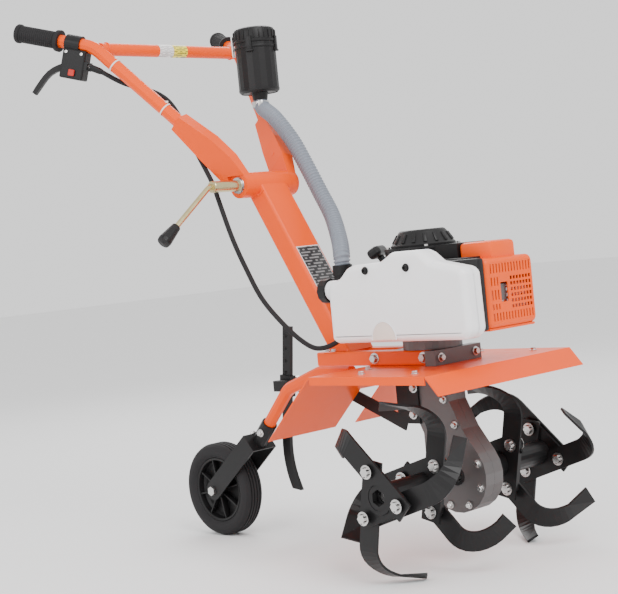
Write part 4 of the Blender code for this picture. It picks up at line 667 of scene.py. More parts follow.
def make_tank():
    middle = (TANK_FACE + TANK_BACK) / 2
    body = slab(tank_outline(), TANK_BACK - TANK_FACE, 0.011, (0, middle, 0), UPRIGHT_Y, steps=6)
    neck = lathe([(0.0145, -0.006), (0.0168, -0.006), (0.0168, 0.0105), (0.0145, 0.0105)],
                 at(0.4605, -0.107, FENDER_TOP + 0.136), (-1, 0, 0), 40)
    seam = slab(tank_outline(), 0.0012, 0.0004, (0, middle + 0.001, 0), UPRIGHT_Y, steps=1)
    tank = add_piece("tank_moulded", join_meshes([body, neck, seam]), "tank_plastic", "root", 50.0)
    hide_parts("fuel_tank")
    for x in (0.552, 0.640):
        spot = Vector((x - SHIFT, TANK_FACE - 0.0002, FENDER_TOP + 0.166))
        screw = bolt_mesh(spot, (0, -1, 0), 0.0085, 0.0035, True, True)
        add_piece("tank_screw", screw, "black_plastic", "root")


def make_tank_pocket():
    """The pocket is a warm-tinted dish low on the tank's face."""
    centre = at(0.580, 0, FENDER_TOP + 0.062)
    outline = []
    for step in range(33):
        angle = math.pi * step / 32
        outline.append((centre.x + 0.026 * math.cos(angle), centre.z - 0.010 + 0.030 * math.sin(angle)))
    face = (0, TANK_FACE - 0.0001, 0)
    dish = slab(round_corners(outline, 0.004, 2), 0.0010, 0.0004, face, UPRIGHT_Y, steps=1)
    add_piece("tank_pocket", dish, "tank_pocket", "root", 50.0)
    lip = [Vector((x, TANK_FACE - 0.0004, z)) for x, z in outline]
    add_piece("tank_pocket_lip", tube(lip, 0.0011, 8), "tank_plastic", "root", 60.0)


finishes["tank_pocket"] = blown("tank_pocket", (0.90, 0.74, 0.64))
make_tank()
make_tank_pocket()
print("tank face at y", round(TANK_FACE, 4))

# %% [markdown]
# ## The engine cover
#
# The cover is an orange moulding over the cylinder and the exhaust.  Its front has rows of upright
# slots, a window for the exhaust and a field of square holes where the hot air leaves.  It is a
# thin shell with a perforated front.  A black strip of the shroud shows between it and the tank.


# %% Cover
COVER_LOW = FENDER_TOP + 0.0575
COVER_HIGH = FENDER_TOP + 0.1685
COVER_LEFT = -0.062
COVER_RIGHT = 0.062
COVER_REAR = 0.640 - SHIFT
COVER_FRONT = 0.745 - SHIFT
COVER_WALL = 0.0024


def rectangle(low, high):
    return [(low[0], low[1]), (high[0], low[1]), (high[0], high[1]), (low[0], high[1])]


def cover_holes():
    """Slots, the exhaust window and the square holes, as outlines in (y, z)."""
    width = COVER_RIGHT - COVER_LEFT
    height = COVER_HIGH - COVER_LOW
    slot = 0.0014
    square = 0.0026
    rows = ((0.10, 0.21, 14), (0.26, 0.34, 3), (0.40, 0.54, 3), (0.60, 0.72, 3), (0.78, 0.91, 14))
    holes = []
    for low, high, count in rows:
        for column in range(count):
            y = COVER_LEFT + (0.095 + 0.062 * column) * width
            z_low = COVER_LOW + low * height
            z_high = COVER_LOW + high * height
            holes.append(rectangle((y - slot, z_low), (y + slot, z_high)))
    for row in range(6):
        for column in range(7):
            y = COVER_LEFT + (0.50 + 0.065 * column) * width
            z = COVER_LOW + (0.28 + 0.082 * row) * height
            holes.append(rectangle((y - square, z - square), (y + square, z + square)))
    window_low = (COVER_LEFT + 0.27 * width, COVER_LOW + 0.36 * height)
    window_high = (COVER_LEFT + 0.42 * width, COVER_LOW + 0.64 * height)
    holes.append(round_corners(rectangle(window_low, window_high), 0.0015, 3))
    return holes


def shell_sections():
    """Rounded sections of the cover's skin, from the open rear to the front's rolled edge."""
    corner = 0.011
    roll = 0.009
    sections = []
    stations = [(COVER_REAR, 0.0), (COVER_REAR + 0.03, 0.0), (COVER_FRONT - roll - 0.03, 0.0)]
    for step in range(7):
        angle = math.pi / 2 * step / 6
        stations.append((COVER_FRONT - roll + roll * math.sin(angle), roll * (1 - math.cos(angle))))
    for x, inset in stations:
        points = rectangle((COVER_LEFT + inset, COVER_LOW + inset),
                           (COVER_RIGHT - inset, COVER_HIGH - inset))
        outline = round_corners(points, corner - 0.5 * inset, 6)
        sections.append([Vector((x, y, z)) for y, z in outline])
    return sections


def make_cover():
    work = bmesh.new()
    rows = [[work.verts.new(p) for p in section] for section in shell_sections()]
    count = len(rows[0])
    for first, second in zip(rows, rows[1:]):
        for k in range(count):
            n = (k + 1) % count
            work.faces.new((first[k], first[n], second[n], second[k]))
    skin = mesh_of(work, "skin")
    inset = 0.0085
    front = round_corners(rectangle((COVER_LEFT + inset, COVER_LOW + inset),
                                    (COVER_RIGHT - inset, COVER_HIGH - inset)), 0.0068, 6)
    place = (COVER_FRONT - COVER_WALL / 2, 0, 0)
    plate = slab(front, COVER_WALL, 0.0003, place, UPRIGHT_X, cover_holes(), 1)
    cover = add_piece("cover_shell", join_meshes([skin, plate]), "orange_plastic", "root", 40.0)
    thick = cover.modifiers.new("Wall", "SOLIDIFY")
    thick.thickness = 0.0009
    thick.offset = -1.0
    hump = block((0.065, 0.064, 0.034), at(0.7045, -0.002, FENDER_TOP + 0.1785), edge=0.007)
    add_piece("cover_hump", hump, "orange_plastic", "root", 40.0)
    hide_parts("engine_cover")
    step = block((0.040, 0.050, 0.003), at(0.700, -0.002, FENDER_TOP + 0.1930), edge=0.001)
    add_piece("cover_hump_step", step, "orange_plastic", "root")


def make_cover_trim():
    """The exhaust's grey mouth, the black strip, a black shelf over the cover and the cover's orange base."""
    width = COVER_RIGHT - COVER_LEFT
    height = COVER_HIGH - COVER_LOW
    y = COVER_LEFT + 0.345 * width
    z = COVER_LOW + 0.50 * height
    mouth = block((0.0012, 0.0150, 0.0260), (COVER_FRONT - 0.0045, y, z), edge=0.0004)
    add_piece("exhaust_mouth", mouth, "cast_metal", "root")
    beside = (COVER_FRONT - 0.0520, COVER_LEFT - 0.0087, (COVER_LOW + COVER_HIGH) / 2)
    strip = block((0.100, 0.0165, height + 0.004), beside, edge=0.004)
    add_piece("shroud_strip", strip, "black_plastic", "root")
    shelf = block((0.078, 0.130, 0.0040), (COVER_FRONT - 0.070, -0.008, COVER_HIGH + 0.0022), edge=0.0015)
    add_piece("shroud_shelf", shelf, "black_plastic", "root")
    low_edge = block((0.098, 0.118, 0.0040), (COVER_FRONT - 0.0535, 0.0, COVER_LOW - 0.0018), edge=0.0015)
    add_piece("cover_base", low_edge, "orange_plastic", "root")


make_cover()
make_cover_trim()
print("cover holes", len(cover_holes()))

# %% [markdown]
# ## Starter and shroud
#
# The recoil starter is a black bell on top of the fan housing.  Upright windows between ribs let
# air in to the fan.  The rope's handle is parked behind it; the real rope pays out when it is pulled,
# but here a short length is made at rest, on no body.


# %% Starter
def make_starter():
    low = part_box("starter_cover")[0][2]
    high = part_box("starter_cover")[1][2]
    centre = Vector((CRANK_X, 0, low))
    tall = high - low
    profile = [(0.0545, 0.0), (0.0548, 0.003), (0.0530, 0.0050), (0.0515, 0.006), (0.0405, tall - 0.004),
               (0.0380, tall - 0.0012), (0.0350, tall), (0.0270, tall),
               (0.0250, tall - 0.002), (0.0, tall - 0.002)]
    bell = lathe([(0.0, 0.0)] + profile, centre, (0, 0, 1), 72, closed=False)
    cap = add_piece("starter_bell", bell, "black_plastic", "root")
    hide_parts("starter_cover")
    pieces = []
    for number in range(16):
        angle = 2 * math.pi * number / 16
        lean = math.atan2(0.0110, tall - 0.010)
        turn = Matrix.Rotation(angle, 4, "Z") @ Matrix.Rotation(-lean, 4, "Y")
        reach = 0.0468
        spot = centre + Vector((reach * math.cos(angle), reach * math.sin(angle), tall * 0.50))
        pieces.append(block((0.0030, 0.0060, tall - 0.011), spot, turn, 0.0008))
    for number in range(8):
        angle = 2 * math.pi * number / 8
        spot = centre + Vector((0.0160 * math.cos(angle), 0.0160 * math.sin(angle), tall - 0.0016))
        pieces.append(block((0.019, 0.0026, 0.0022), spot, Matrix.Rotation(angle, 4, "Z"), 0.0006))
    pieces.append(lathe([(0.0, 0.0), (0.0065, 0.0), (0.0065, 0.0018), (0.0, 0.0018)],
                        centre + Vector((0, 0, tall - 0.0022)), (0, 0, 1), 24, closed=False))
    add_piece("starter_ribs", join_meshes(pieces), "black_plastic", "root")
    for number in range(4):
        angle = math.radians(90 * number + 45)
        spot = centre + Vector((0.0590 * math.cos(angle), 0.0590 * math.sin(angle), -0.0003))
        screw = bolt_mesh(spot, (0, 0, 1), 0.006, 0.003, False, True)
        add_piece("starter_screw", screw, "bright_steel", "root")


def make_shroud_blocks():
    """Webs round the fan housing, and the blocks that step down to the cover."""
    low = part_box("fan_housing")[0][2]
    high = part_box("fan_housing")[1][2]
    pieces = []
    for number in range(26):
        angle = 2 * math.pi * number / 26
        if math.cos(angle) > 0.55:
            continue
        spot = Vector((CRANK_X + 0.0640 * math.cos(angle), 0.0640 * math.sin(angle),
                       (low + high) / 2 + 0.002))
        size = (0.0022, 0.0040, (high - low) * 0.78)
        pieces.append(block(size, spot, Matrix.Rotation(angle, 4, "Z"), 0.0006))
    rim = lathe([(0.0610, 0.0), (0.0655, 0.0), (0.0660, 0.0015), (0.0655, 0.0045), (0.0610, 0.0045)],
                Vector((CRANK_X, 0, high - 0.0050)), (0, 0, 1), 72)
    pieces.append(rim)
    for y in (-0.031, -0.019, 0.019, 0.031):
        pieces.append(block((0.012, 0.0035, 0.016), at(0.6640, y, high - 0.014), edge=0.0008))
    add_piece("shroud_webs", join_meshes(pieces), "black_plastic", "root")


def make_rope():
    """A short length of rope at rest, made in place on no body."""
    handle = Vector(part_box("pull_handle")[0]).lerp(Vector(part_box("pull_handle")[1]), 0.5)
    pull = Vector((-0.45, -0.25, 0.86)).normalized()
    start = handle - pull * 0.045
    stop = handle - pull * 0.020
    route = [start.lerp(stop, step / 24) for step in range(25)]
    rope = add_piece("starter_rope", tube(route, 0.0021, 10), "rubber", None, 60.0)
    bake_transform(rope)
    guide = lathe([(0.0026, 0.0), (0.0075, 0.0), (0.0085, 0.004), (0.0060, 0.010), (0.0026, 0.010)],
                  start - pull * 0.004, pull, 24)
    add_piece("rope_guide", guide, "black_plastic", "root")


make_starter()
make_shroud_blocks()
make_rope()

# %% [markdown]
# ## Hose and cable
#
# The air hose is light grey and corrugated: a helix runs round it, so the ridges climb.  It must
# follow the handlebar when that tilts; here it is made in place and rides on no body.  The throttle
# cable runs inside a black sleeve.  It is tied to the right handlebar with two clear ties.


# %% Hose and cable
HOSE_PITCH = 0.0064


def hose_route():
    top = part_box("air_hose")[1][2]
    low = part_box("air_hose")[0][2]
    points = [(0.108, 0.097, top), (0.108, 0.097, top - 0.006), (0.1190, 0.0920, 0.8190),
              (0.1640, 0.0775, 0.794), (0.2060, 0.0750, 0.748), (0.2395, 0.0717, 0.698),
              (0.2744, 0.0669, 0.643), (0.3115, 0.0542, 0.597), (0.350, 0.027, 0.552),
              (0.374, 0.004, low + 0.024), (0.377, 0.0, low + 0.006), (0.377, 0.0, low)]
    return smooth_route([at(*p) for p in points], HOSE_PITCH / (6))


def hose_radius(distance, angle):
    wave = math.cos(2 * math.pi * distance / HOSE_PITCH - angle)
    return 0.0141 + 0.0013 * wave


def make_hose():
    route = hose_route()
    hose = add_piece("corrugated_hose", tube(route, hose_radius, 28), "hose_plastic", None, 80.0)
    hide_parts("air_hose")
    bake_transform(hose)
    clip = lathe([(0.0158, -0.0055), (0.0166, -0.0055), (0.0166, 0.0055), (0.0158, 0.0055)],
                 route[0] + Vector((0, 0, -0.009)), (0, 0, 1), 48)
    housing = block((0.012, 0.009, 0.013), route[0] + Vector((0.0125, -0.0125, -0.009)),
                    Matrix.Rotation(math.radians(-45), 4, "Z"), 0.001)
    add_piece("hose_clip", join_meshes([clip, housing]), "bright_steel", "handlebar")
    cuff = lathe([(0.0150, 0.0), (0.0176, 0.0), (0.0180, 0.004), (0.0176, 0.018), (0.0150, 0.018)],
                 route[-1] + Vector((0, 0, -0.012)), (0, 0, 1), 48)
    add_piece("hose_cuff", cuff, "black_plastic", "root")
    return sum((b - a).length for a, b in zip(route, route[1:]))


def bar_frame():
    """The throttle's own axes on the right handlebar: along the bar, outwards, up."""
    bend = at(BAR_BEND[0], -BAR_BEND[1], BAR_BEND[2])
    end = at(BAR_END[0], -BAR_END[1], BAR_END[2])
    along = (end - bend).normalized()
    out = Vector((-along.y, along.x, 0)).normalized()
    up = along.cross(out).normalized()
    turn = Matrix((along, out, up)).transposed().to_4x4()
    return Matrix.Translation(bend + along * 0.048) @ turn


def make_cable():
    matrix = bar_frame()
    points = [tuple(matrix @ Vector((reach, 0.001, -0.038))) for reach in (-0.0485, -0.058)]
    route = [(0.0013, -0.1490, 0.8830), (0.0480, -0.1050, 0.8555), (0.0750, -0.0890, 0.8188),
             (0.1015, -0.0776, 0.7480), (0.1610, -0.0940, 0.6770), (0.1730, -0.0950, 0.6473),
             (0.2058, -0.1000, 0.5746), (0.2239, -0.0900, 0.5166), (0.2473, -0.0800, 0.4603),
             (0.2848, -0.0700, 0.4129), (0.3204, -0.0600, 0.3790), (0.3560, -0.0580, 0.3660),
             (0.4000, -0.0560, 0.3760), (0.4300, -0.0500, 0.4030), (0.4550, -0.0420, 0.4290),
             (0.4870, -0.0310, FENDER_TOP + 0.0993)]
    points += [tuple(at(*p)) for p in route]
    line = smooth_route(points, 0.004)
    cable = add_piece("cable_sleeve", tube(line, 0.0044, 16), "rubber", None, 70.0)
    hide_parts("throttle_cable")
    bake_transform(cable)
    boot = lathe([(0.0046, 0.0), (0.0066, 0.0), (0.0060, 0.020), (0.0050, 0.024), (0.0046, 0.024)],
                 line[0], line[6] - line[0], 24)
    add_piece("cable_boot", boot, "black_plastic", "handlebar")
    return sum((b - a).length for a, b in zip(line, line[1:]))


def make_ties():
    """Clear straps round the right handlebar, with their square locks."""
    bend = Vector((BAR_BEND[0], -BAR_BEND[1], BAR_BEND[2]))
    foot = Vector((BAR_FOOT[0], -BAR_FOOT[1], BAR_FOOT[2]))
    along = (foot - bend).normalized()
    for share in (0.17, 0.57):
        place = at(*bend.lerp(foot, share))
        band = [(0.0126, -0.0013), (0.0136, -0.0013), (0.0136, 0.0013), (0.0126, 0.0013)]
        strap = lathe(band, place, along, 40)
        lock = block((0.0045, 0.0045, 0.0040), place + Vector((0.006, 0.0, 0.0135)), edge=0.0005)
        add_piece("clear_tie", join_meshes([strap, lock]), "tie_plastic", "handlebar")


finishes["tie_plastic"] = moulded("tie_plastic", (0.85, 0.83, 0.80), 0.30)
hose_length = make_hose()
cable_length = make_cable()
make_ties()
print("hose", round(hose_length, 3), "m, cable", round(cable_length, 3), "m")

# %% [markdown]
# ## Handlebars
#
# The grips are ribbed rubber sleeves.  The two bars meet the column's head in face-toothed plates,
# which lock the angle when the lever is tight.  The lever's sleeve is yellow zinc and its knob is
# black.


# %% Handlebar pieces
def bar_end(side):
    """The end of a handlebar's tube and the direction it points."""
    bend = at(BAR_BEND[0], side * BAR_BEND[1], BAR_BEND[2])
    end = at(BAR_END[0], side * BAR_END[1], BAR_END[2])
    return end, (end - bend).normalized()


def make_grip(side, name):
    end, out = bar_end(side)
    top = 0.004
    low = top - 0.092
    profile = [(0.0129, low), (0.0205, low), (0.0207, low + 0.002),
               (0.0200, low + 0.0075), (0.0165, low + 0.0085)]
    ribs = 17
    for number in range(ribs):
        z = low + 0.012 + number * 0.0042
        profile += [(0.0152, z), (0.0162, z + 0.0009), (0.0162, z + 0.0026), (0.0152, z + 0.0034)]
    profile += [(0.0165, top - 0.0085), (0.0180, top - 0.0075), (0.0180, top - 0.002),
                (0.0165, top), (0.0, top)]
    sleeve = lathe(profile, end, out, 56, closed=False)
    grip = add_piece(name + "_ribbed", sleeve, "grip_rubber", "handlebar", 25.0)
    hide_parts(name)


def make_teeth():
    """Radial face teeth between each pivot plate and the column's head."""
    teeth = []
    for side in (-1, 1):
        centre = at(PIVOT[0], side * 0.0456, PIVOT[2])
        for number in range(40):
            angle = 2 * math.pi * number / 40
            spot = centre + Vector((0.0195 * math.cos(angle), 0, 0.0195 * math.sin(angle)))
            teeth.append(block((0.0078, 0.0016, 0.0016), spot, Matrix.Rotation(-angle, 4, "Y"), 0))
    add_piece("pivot_teeth", join_meshes(teeth), "orange_paint", "root", 20.0)


def make_welds():
    """Weld beads at the column's head and at the crossbar's ends."""
    head_beads = []
    bar_beads = []
    for side in (-1, 1):
        loop = []
        for step in range(25):
            angle = math.radians(-140 + 100 * step / 24)
            loop.append(at(PIVOT[0] + 0.0236 * math.cos(angle) + 0.010, side * 0.033,
                           PIVOT[2] + 0.0236 * math.sin(angle) + 0.004))
        head_beads.append(tube(loop, lambda s, a: 0.0020 + 0.0003 * math.cos(s * 2200), 8))
        bar = at(BAR_BEND[0] + 0.003, side * (BAR_BEND[1] - 0.0255), BAR_BEND[2] - 0.004)
        ring = [bar + Vector((0.0124 * math.cos(t), 0, 0.0124 * math.sin(t)))
                for t in (2 * math.pi * k / 32 for k in range(33))]
        bar_beads.append(tube(ring, 0.0016, 8))
    add_piece("column_weld", join_meshes(head_beads), "orange_paint", "root", 60.0)
    add_piece("crossbar_weld", join_meshes(bar_beads), "orange_paint", "handlebar", 60.0)


def make_clamp_details():
    """A bright washer stack where the sleeve meets the plate, and a rolled edge on the sleeve."""
    face = at(PIVOT[0], -0.0662, PIVOT[2])
    stack = []
    for start, radius in ((0.0, 0.0150), (0.0018, 0.0132), (0.0034, 0.0142)):
        washer = [(0.0103, 0.0), (radius, 0.0), (radius + 0.0003, 0.0007), (radius, 0.0014), (0.0103, 0.0014)]
        stack.append(lathe(washer, face + Vector((0, -start, 0)), (0, -1, 0), 40))
    add_piece("clamp_washers", join_meshes(stack), "bright_steel", "handlebar")
    rolled = lathe([(0.0100, 0.0), (0.0107, 0.0), (0.0107, 0.0035), (0.0100, 0.0045)],
                   face + Vector((0, -0.0600, 0)), (0, -1, 0), 40)
    add_piece("clamp_sleeve_edge", rolled, "yellow_zinc", "clamp")
    left = at(PIVOT[0], 0.0745, PIVOT[2])
    add_piece("pivot_nut", bolt_mesh(left, (0, 1, 0), 0.0125, 0.004, False), "bright_steel", "handlebar")


def make_throttle_details():
    """Clamp screws, the cable's adjuster and ribs on the housing."""
    matrix = bar_frame()
    turn = matrix.to_3x3()
    pieces = []
    for x in (-0.032, 0.000):
        place = matrix @ Vector((x, 0.0136, -0.017))
        pieces.append(bolt_mesh(place, turn @ Vector((0, 1, 0)), 0.0050, 0.0022, False, True))
    place = matrix @ Vector((-0.014, -0.0136, -0.042))
    pieces.append(bolt_mesh(place, turn @ Vector((0, -1, 0)), 0.0070, 0.0030, True))
    place = matrix @ Vector((-0.0465, 0.001, -0.038))
    pieces.append(bolt_mesh(place, turn @ Vector((-1, 0, 0)), 0.0080, 0.0045, False))
    add_piece("throttle_screws", join_meshes(pieces), "bright_steel", "handlebar")
    ribs = []
    for number in range(5):
        spot = matrix @ Vector((-0.036 + 0.0085 * number, -0.0137, -0.052))
        ribs.append(block((0.0022, 0.0012, 0.020), spot, turn.to_4x4(), 0.0004))
    add_piece("throttle_ribs", join_meshes(ribs), "black_plastic", "handlebar")


make_grip(-1, "grip_right")
make_grip(1, "grip_left")
make_teeth()
make_welds()
make_clamp_details()
make_throttle_details()
print("handlebar pieces made")

# %% [markdown]
# ## Air canister
#
# The canister's lid overlaps the body, and clips round it hold it down.  A ribbed collar, a cap
# with a shallow dome and a bracket strap finish it.


# %% Canister details
def make_canister():
    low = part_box("air_cleaner_body")[0][2] + 0.014
    radius = (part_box("air_cleaner_lid")[1][0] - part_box("air_cleaner_lid")[0][0]) / 2
    lid_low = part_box("air_cleaner_lid")[0][2]
    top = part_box("air_cleaner_lid")[1][2]
    centre = at(0.108, 0.097, 0.0)
    lid = [(radius - 0.0045, lid_low - 0.0002), (radius - 0.0004, lid_low), (radius, lid_low + 0.0015),
           (radius, lid_low + 0.0045), (radius - 0.0012, lid_low + 0.006), (radius - 0.0012, top - 0.0085),
           (radius - 0.0035, top - 0.0030), (radius - 0.0080, top - 0.0006), (radius - 0.0090, top - 0.0022),
           (0.020, top - 0.0022), (0.018, top - 0.0004), (0.0, top)]
    turned = lathe(lid, centre, (0, 0, 1), 72, closed=False)
    shell = add_piece("canister_lid", turned, "black_plastic", "handlebar")
    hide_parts("air_cleaner_lid")
    ribs = []
    for number in range(24):
        angle = 2 * math.pi * number / 24
        spot = centre + Vector(((radius - 0.0008) * math.cos(angle), (radius - 0.0008) * math.sin(angle),
                                (lid_low + top) / 2))
        size = (0.0020, 0.0024, top - lid_low - 0.014)
        ribs.append(block(size, spot, Matrix.Rotation(angle, 4, "Z"), 0.0005))
    band_profile = [(radius - 0.0026, 0.0), (radius - 0.0006, 0.0), (radius - 0.0002, 0.002),
                    (radius - 0.0006, 0.004), (radius - 0.0026, 0.004)]
    band = lathe(band_profile, centre + Vector((0, 0, lid_low - 0.0105)), (0, 0, 1), 72)
    foot_profile = [(radius - 0.006, 0.0), (radius - 0.0020, 0.004), (radius - 0.0018, 0.0085),
                    (radius - 0.0026, 0.0088), (radius - 0.0060, 0.0030)]
    foot = lathe(foot_profile, centre + Vector((0, 0, low - 0.001)), (0, 0, 1), 72)
    add_piece("canister_bands", join_meshes(ribs + [band, foot]), "black_plastic", "handlebar")
    for degrees in (30.0, 110.0, 300.0):
        angle = math.radians(degrees)
        out = Vector((math.cos(angle), math.sin(angle), 0))
        spot = centre + out * (radius + 0.0006) + Vector((0, 0, lid_low - 0.004))
        turn = Matrix.Rotation(angle, 4, "Z")
        clip = block((0.0030, 0.011, 0.030), spot, turn, 0.0009)
        pin = block((0.0050, 0.015, 0.004), spot - Vector((0, 0, 0.013)), turn, 0.0009)
        add_piece("canister_clip", join_meshes([clip, pin]), "black_plastic", "handlebar")
    bend = Vector(BAR_BEND)
    foot_place = Vector(BAR_FOOT)
    share = (BAR_BEND[2] - 0.885) / (BAR_BEND[2] - BAR_FOOT[2])
    place = at(*bend.lerp(foot_place, share))
    strap = lathe([(0.0127, -0.009), (0.0150, -0.009), (0.0152, -0.007), (0.0152, 0.007), (0.0150, 0.009),
                   (0.0127, 0.009)], place, foot_place - bend, 40)
    add_piece("canister_strap", strap, "black_plastic", "handlebar")


make_canister()
print("canister made")

# %% [markdown]
# ## Fastenings
#
# Bolts hold the rails, the fender, the gearbox halves, the stay and the tines.  They are zinc
# plated, apart from the black screws on the plastic parts.  A washer under each head keeps the
# paint whole.


# %% Bolts
RAIL_Z = FENDER_TOP + 0.0130


def put_bolts(name, spots, body="root"):
    """spots: (place, direction, across, height) of each bolt; one piece holds them all."""
    add_piece(name, join_meshes([bolt_mesh(*spot) for spot in spots]), "bright_steel", body)


def make_frame_bolts():
    rails = []
    for side in (-1, 1):
        for x in (0.475, 0.585):
            rails.append((at(x, side * 0.0446, RAIL_Z), (0, side, 0), 0.0125, 0.0060))
        for x in (0.352, 0.368):
            rails.append((at(x, side * 0.0330, FENDER_TOP + 0.0254), (0, 0, 1), 0.0080, 0.0035))
    put_bolts("rail_bolts", rails)
    holes = ((0.545, -0.155), (0.660, -0.155), (0.545, 0.155), (0.660, 0.155),
             (0.500, 0.090), (0.500, -0.090))
    fender = [(at(x, y, FENDER_TOP + 0.0001), (0, 0, 1), 0.0085, 0.0040) for x, y in holes]
    put_bolts("fender_bolts", fender)
    stay = [(at(0.540, -0.0264, FENDER_TOP - 0.040), (0, -1, 0), 0.0105, 0.0050),
            (at(0.535, -0.0264, FENDER_TOP - 0.085), (0, -1, 0), 0.0105, 0.0050)]
    put_bolts("stay_bolts", stay)
    nose = [(at(0.6226, y, RAIL_Z), (1, 0, 0), 0.0100, 0.0050) for y in (-0.045, 0.045)]
    put_bolts("nose_bolts", nose)


def on_both_sides(profile, reach, sides):
    """A ring on the tine axle at each side of the machine."""
    return join_meshes([lathe(profile, Vector((AXLE.x, side * reach, AXLE.z)), (0, side, 0), sides)
                        for side in (-1, 1)])


def make_case_bolts():
    spots = []
    for side in (-1, 1):
        y = side * 0.0226
        for degrees in (25, -20, -65, -110, -155):
            angle = math.radians(degrees)
            place = Vector((AXLE.x + 0.0525 * math.cos(angle), y, AXLE.z + 0.0525 * math.sin(angle)))
            spots.append((place, (0, side, 0), 0.0080, 0.0050))
        for x, z in ((0.619, AXLE.z + 0.085), (0.545 if side > 0 else 0.590, FENDER_TOP - 0.0165),
                     (0.600, FENDER_TOP - 0.060)):
            spots.append((at(x, y, z), (0, side, 0), 0.0080, 0.0050))
    put_bolts("case_bolts", spots)
    boss = [(0.0, 0.0), (0.0085, 0.0), (0.0075, 0.0006), (0.0, 0.0006)]
    bosses = [lathe(boss, place, along, 24, closed=False) for place, along, _, _ in spots]
    add_piece("case_bosses", join_meshes(bosses), "cast_metal", "root")
    lip = [(0.0106, 0.0), (0.0158, 0.0), (0.0158, 0.0012), (0.0150, 0.0018), (0.0106, 0.0010)]
    add_piece("axle_seals", on_both_sides(lip, 0.0222, 40), "rubber", "root")


def make_tine_bolts():
    """Bright heads and nuts on the tine plates; three to a plate, on both faces."""
    spots = []
    for side in (-1, 1):
        for level, start in ((0.212, 108.0), (0.100, 48.0)):
            for number in range(3):
                angle = math.radians(start + 120.0 * number)
                for face in (-1, 1):
                    place = Vector((AXLE.x + 0.044 * math.cos(angle), side * level + face * 0.0113,
                                    AXLE.z + 0.044 * math.sin(angle)))
                    spots.append((place, (0, face, 0), 0.0146, 0.0050))
    put_bolts("tine_bolts", spots, "rotor")
    collar = [(0.0205, 0.0), (0.0270, 0.0), (0.0276, 0.0008), (0.0270, 0.0022), (0.0205, 0.0022)]
    add_piece("hub_collars", on_both_sides(collar, 0.2146, 48), "black_paint", "rotor")


def make_fork_bolts():
    """One bolt on the fork's bridge and one through its sleeve."""
    pipe = Vector((0.768, 0.0, 0.640))
    across = Vector((-0.640, 0.0, 0.768))
    bridge = WHEEL + pipe * 0.146 + across * 0.0195
    put_bolts("fork_bolts", [(bridge, across, 0.0095, 0.0045)])
    sleeve = WHEEL + pipe * 0.178 + Vector((0, -0.0150, 0))
    put_bolts("sleeve_bolt", [(sleeve, (0, -1, 0), 0.0095, 0.0050)])


make_frame_bolts()
make_case_bolts()
make_tine_bolts()
make_fork_bolts()
print("bolts made")

# %% [markdown]
# ## Labels
#
# A dark label with a white border sits low on the column, and two small ones wrap the crossbar.
# They carry no words: rows of plain dashes stand for the print.


# %% Labels
def printed(name, ground, ink, rows, across, along):
    """A label's print: rows of dashes with uneven gaps.  across and along are axis names."""
    finish = Finish(name, Roughness=0.40, Coat_Weight=0.3)
    line = (finish.axis(along) * rows).fraction()
    number = finish.axis(along) * rows - line
    reach = finish.axis(across) * 160.0 + number * 3.7
    dash = (reach.wave() + (reach * 2.63 + 1.3).wave()) * 0.5
    marks = line.above(0.52) * dash.above(-0.22)
    worn = finish.noise(300.0, 2.0)
    finish.give(Base_Color=finish.blend((marks * (0.75 + worn * 0.25)).clamp(), ground, ink))
    finish.bump(worn, 0.05, 0.0001)
    return finish.material


def make_column_label():
    down = 0.1944
    normal = Vector((math.cos(LEAN), 0, math.sin(LEAN)))
    centre = at(PIVOT[0] + math.sin(LEAN) * down, 0, PIVOT[2] - math.cos(LEAN) * down) + normal * 0.0203
    along = Vector((-math.sin(LEAN), 0, math.cos(LEAN)))
    turn = Matrix((normal, Vector((0, 1, 0)), along)).transposed().to_4x4()
    border = block((0.0004, 0.0560, 0.0860), centre, turn, 0)
    add_piece("label_border", border, "label_white", "root")
    plate = block((0.0004, 0.0530, 0.0830), centre + normal * 0.0002, turn, 0)
    add_piece("column_label", plate, "label_dark", "root")


def make_bar_labels():
    place = at(BAR_BEND[0] + 0.003, 0, BAR_BEND[2] - 0.004)
    for y, name in ((-0.0175, "label_white_print"), (0.0175, "label_yellow")):
        sleeve = lathe([(0.0121, -0.0173), (0.01225, -0.0173), (0.01225, 0.0173), (0.0121, 0.0173)],
                       place + Vector((0, y, 0)), (0, 1, 0), 48)
        add_piece("bar_" + name, sleeve, name, "handlebar")


WHITE = (0.80, 0.79, 0.78)
finishes["label_white"] = moulded("label_white", WHITE, 0.35)
finishes["label_dark"] = printed("label_dark", (0.015, 0.014, 0.015), (0.26, 0.25, 0.25), 190.0, "Y", "Z")
finishes["label_white_print"] = printed("label_white_print", WHITE, (0.35, 0.34, 0.34), 420.0, "Y", "Z")
finishes["label_yellow"] = printed("label_yellow", (0.88, 0.74, 0.04), (0.10, 0.09, 0.03), 300.0, "Y", "Z")
make_column_label()
make_bar_labels()
print("labels made")

# %% [markdown]
# ## Ignition lead and softened edges
#
# A black lead runs from the plug's cap to the coil under the shroud.  Sheet and castings have
# broken edges, so a fine bevel goes on the model's own sharp pieces.


# %% Lead and edges
def make_lead():
    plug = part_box("spark_plug")
    x = (plug[0][0] + plug[1][0]) / 2
    top = plug[1][2]
    points = [(x - 0.001, 0.0, top - 0.006), (x - 0.018, 0.001, top - 0.004),
              (x - 0.040, 0.014, top - 0.012), (x - 0.058, 0.034, top - 0.022)]
    add_piece("ignition_lead", tube(smooth_route(points, 0.003), 0.0032, 12), "rubber", "root", 70.0)


def soften(names, width, segments=2):
    for name in names:
        bevel = frame["nodes"][name].modifiers.new("Broken edges", "BEVEL")
        bevel.width = width
        bevel.segments = segments
        bevel.limit_method = "ANGLE"
        bevel.angle_limit = math.radians(38)
        bevel.harden_normals = True


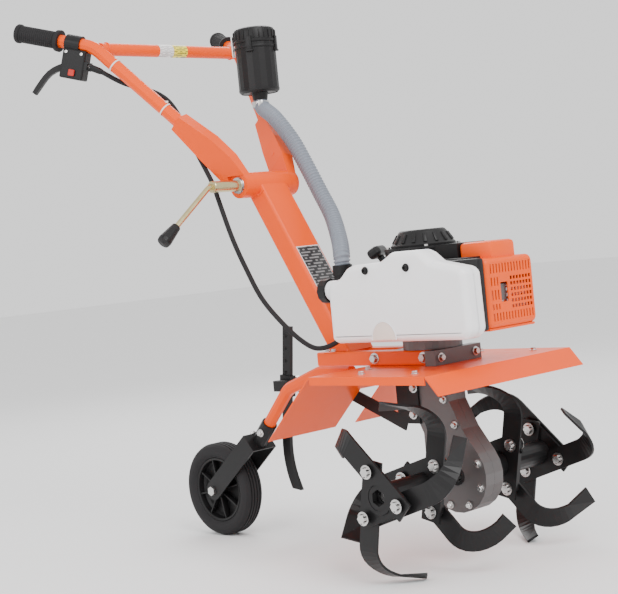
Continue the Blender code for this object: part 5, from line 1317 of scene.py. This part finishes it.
make_lead()
soften(("fender", "rail_left", "rail_right", "wheel_fork", "fender_stay", "stake_holder", "depth_stake"),
       0.0007)
soften(("gearbox_block", "gearbox_case_left", "gearbox_case_right", "crankcase", "clutch_housing"), 0.0009)
soften(("tines_left_outer", "tines_right_outer", "tines_left_inner", "tines_right_inner"), 0.0006)
print("edges softened")

# %% [markdown]
# ## Floor and light
#
# A pale floor and a pale surround give the even light of a studio.  A large soft light stands
# ahead and above to the camera's left, a weaker one to its right, and a third behind picks out
# the edges.


# %% Stage
def pale(name, colour):
    finish = Finish(name, Roughness=0.85)
    tone = finish.noise(3.0, 2.0)
    finish.give(Base_Color=finish.blend(tone, darker(colour, 0.985), colour))
    return finish.material


def make_floor():
    work = bmesh.new()
    bmesh.ops.create_grid(work, x_segments=1, y_segments=1, size=14.0)
    mesh = mesh_of(work, "floor")
    floor = bpy.data.objects.new("floor", mesh)
    floor.location = (0.0, 0.0, -0.0005)
    bpy.context.scene.collection.objects.link(floor)
    mesh.materials.append(pale("floor_pale", (0.88, 0.88, 0.88)))


def add_light(name, place, size, power, aim=(0.05, 0.0, 0.45)):
    light = bpy.data.lights.new(name, "AREA")
    light.shape = "RECTANGLE"
    light.size = size[0]
    light.size_y = size[1]
    light.energy = power
    lamp = bpy.data.objects.new(name, light)
    turn = (Vector(aim) - Vector(place)).to_track_quat("-Z", "Y").to_matrix().to_4x4()
    lamp.matrix_world = Matrix.Translation(place) @ turn
    bpy.context.scene.collection.objects.link(lamp)


def make_surround():
    world = bpy.data.worlds.new("surround")
    world.use_nodes = True
    ground = world.node_tree.nodes["Background"]
    ground.inputs["Color"].default_value = (1.0, 1.0, 1.0, 1.0)
    ground.inputs["Strength"].default_value = 1.25
    bpy.context.scene.world = world


make_floor()
make_surround()
add_light("key", (2.2, -0.6, 2.6), (1.6, 1.6), 75.0)
add_light("fill", (0.2, -2.8, 1.6), (2.0, 2.0), 30.0)
add_light("edge", (-1.8, 1.6, 2.2), (1.6, 1.6), 30.0)
print("stage set")
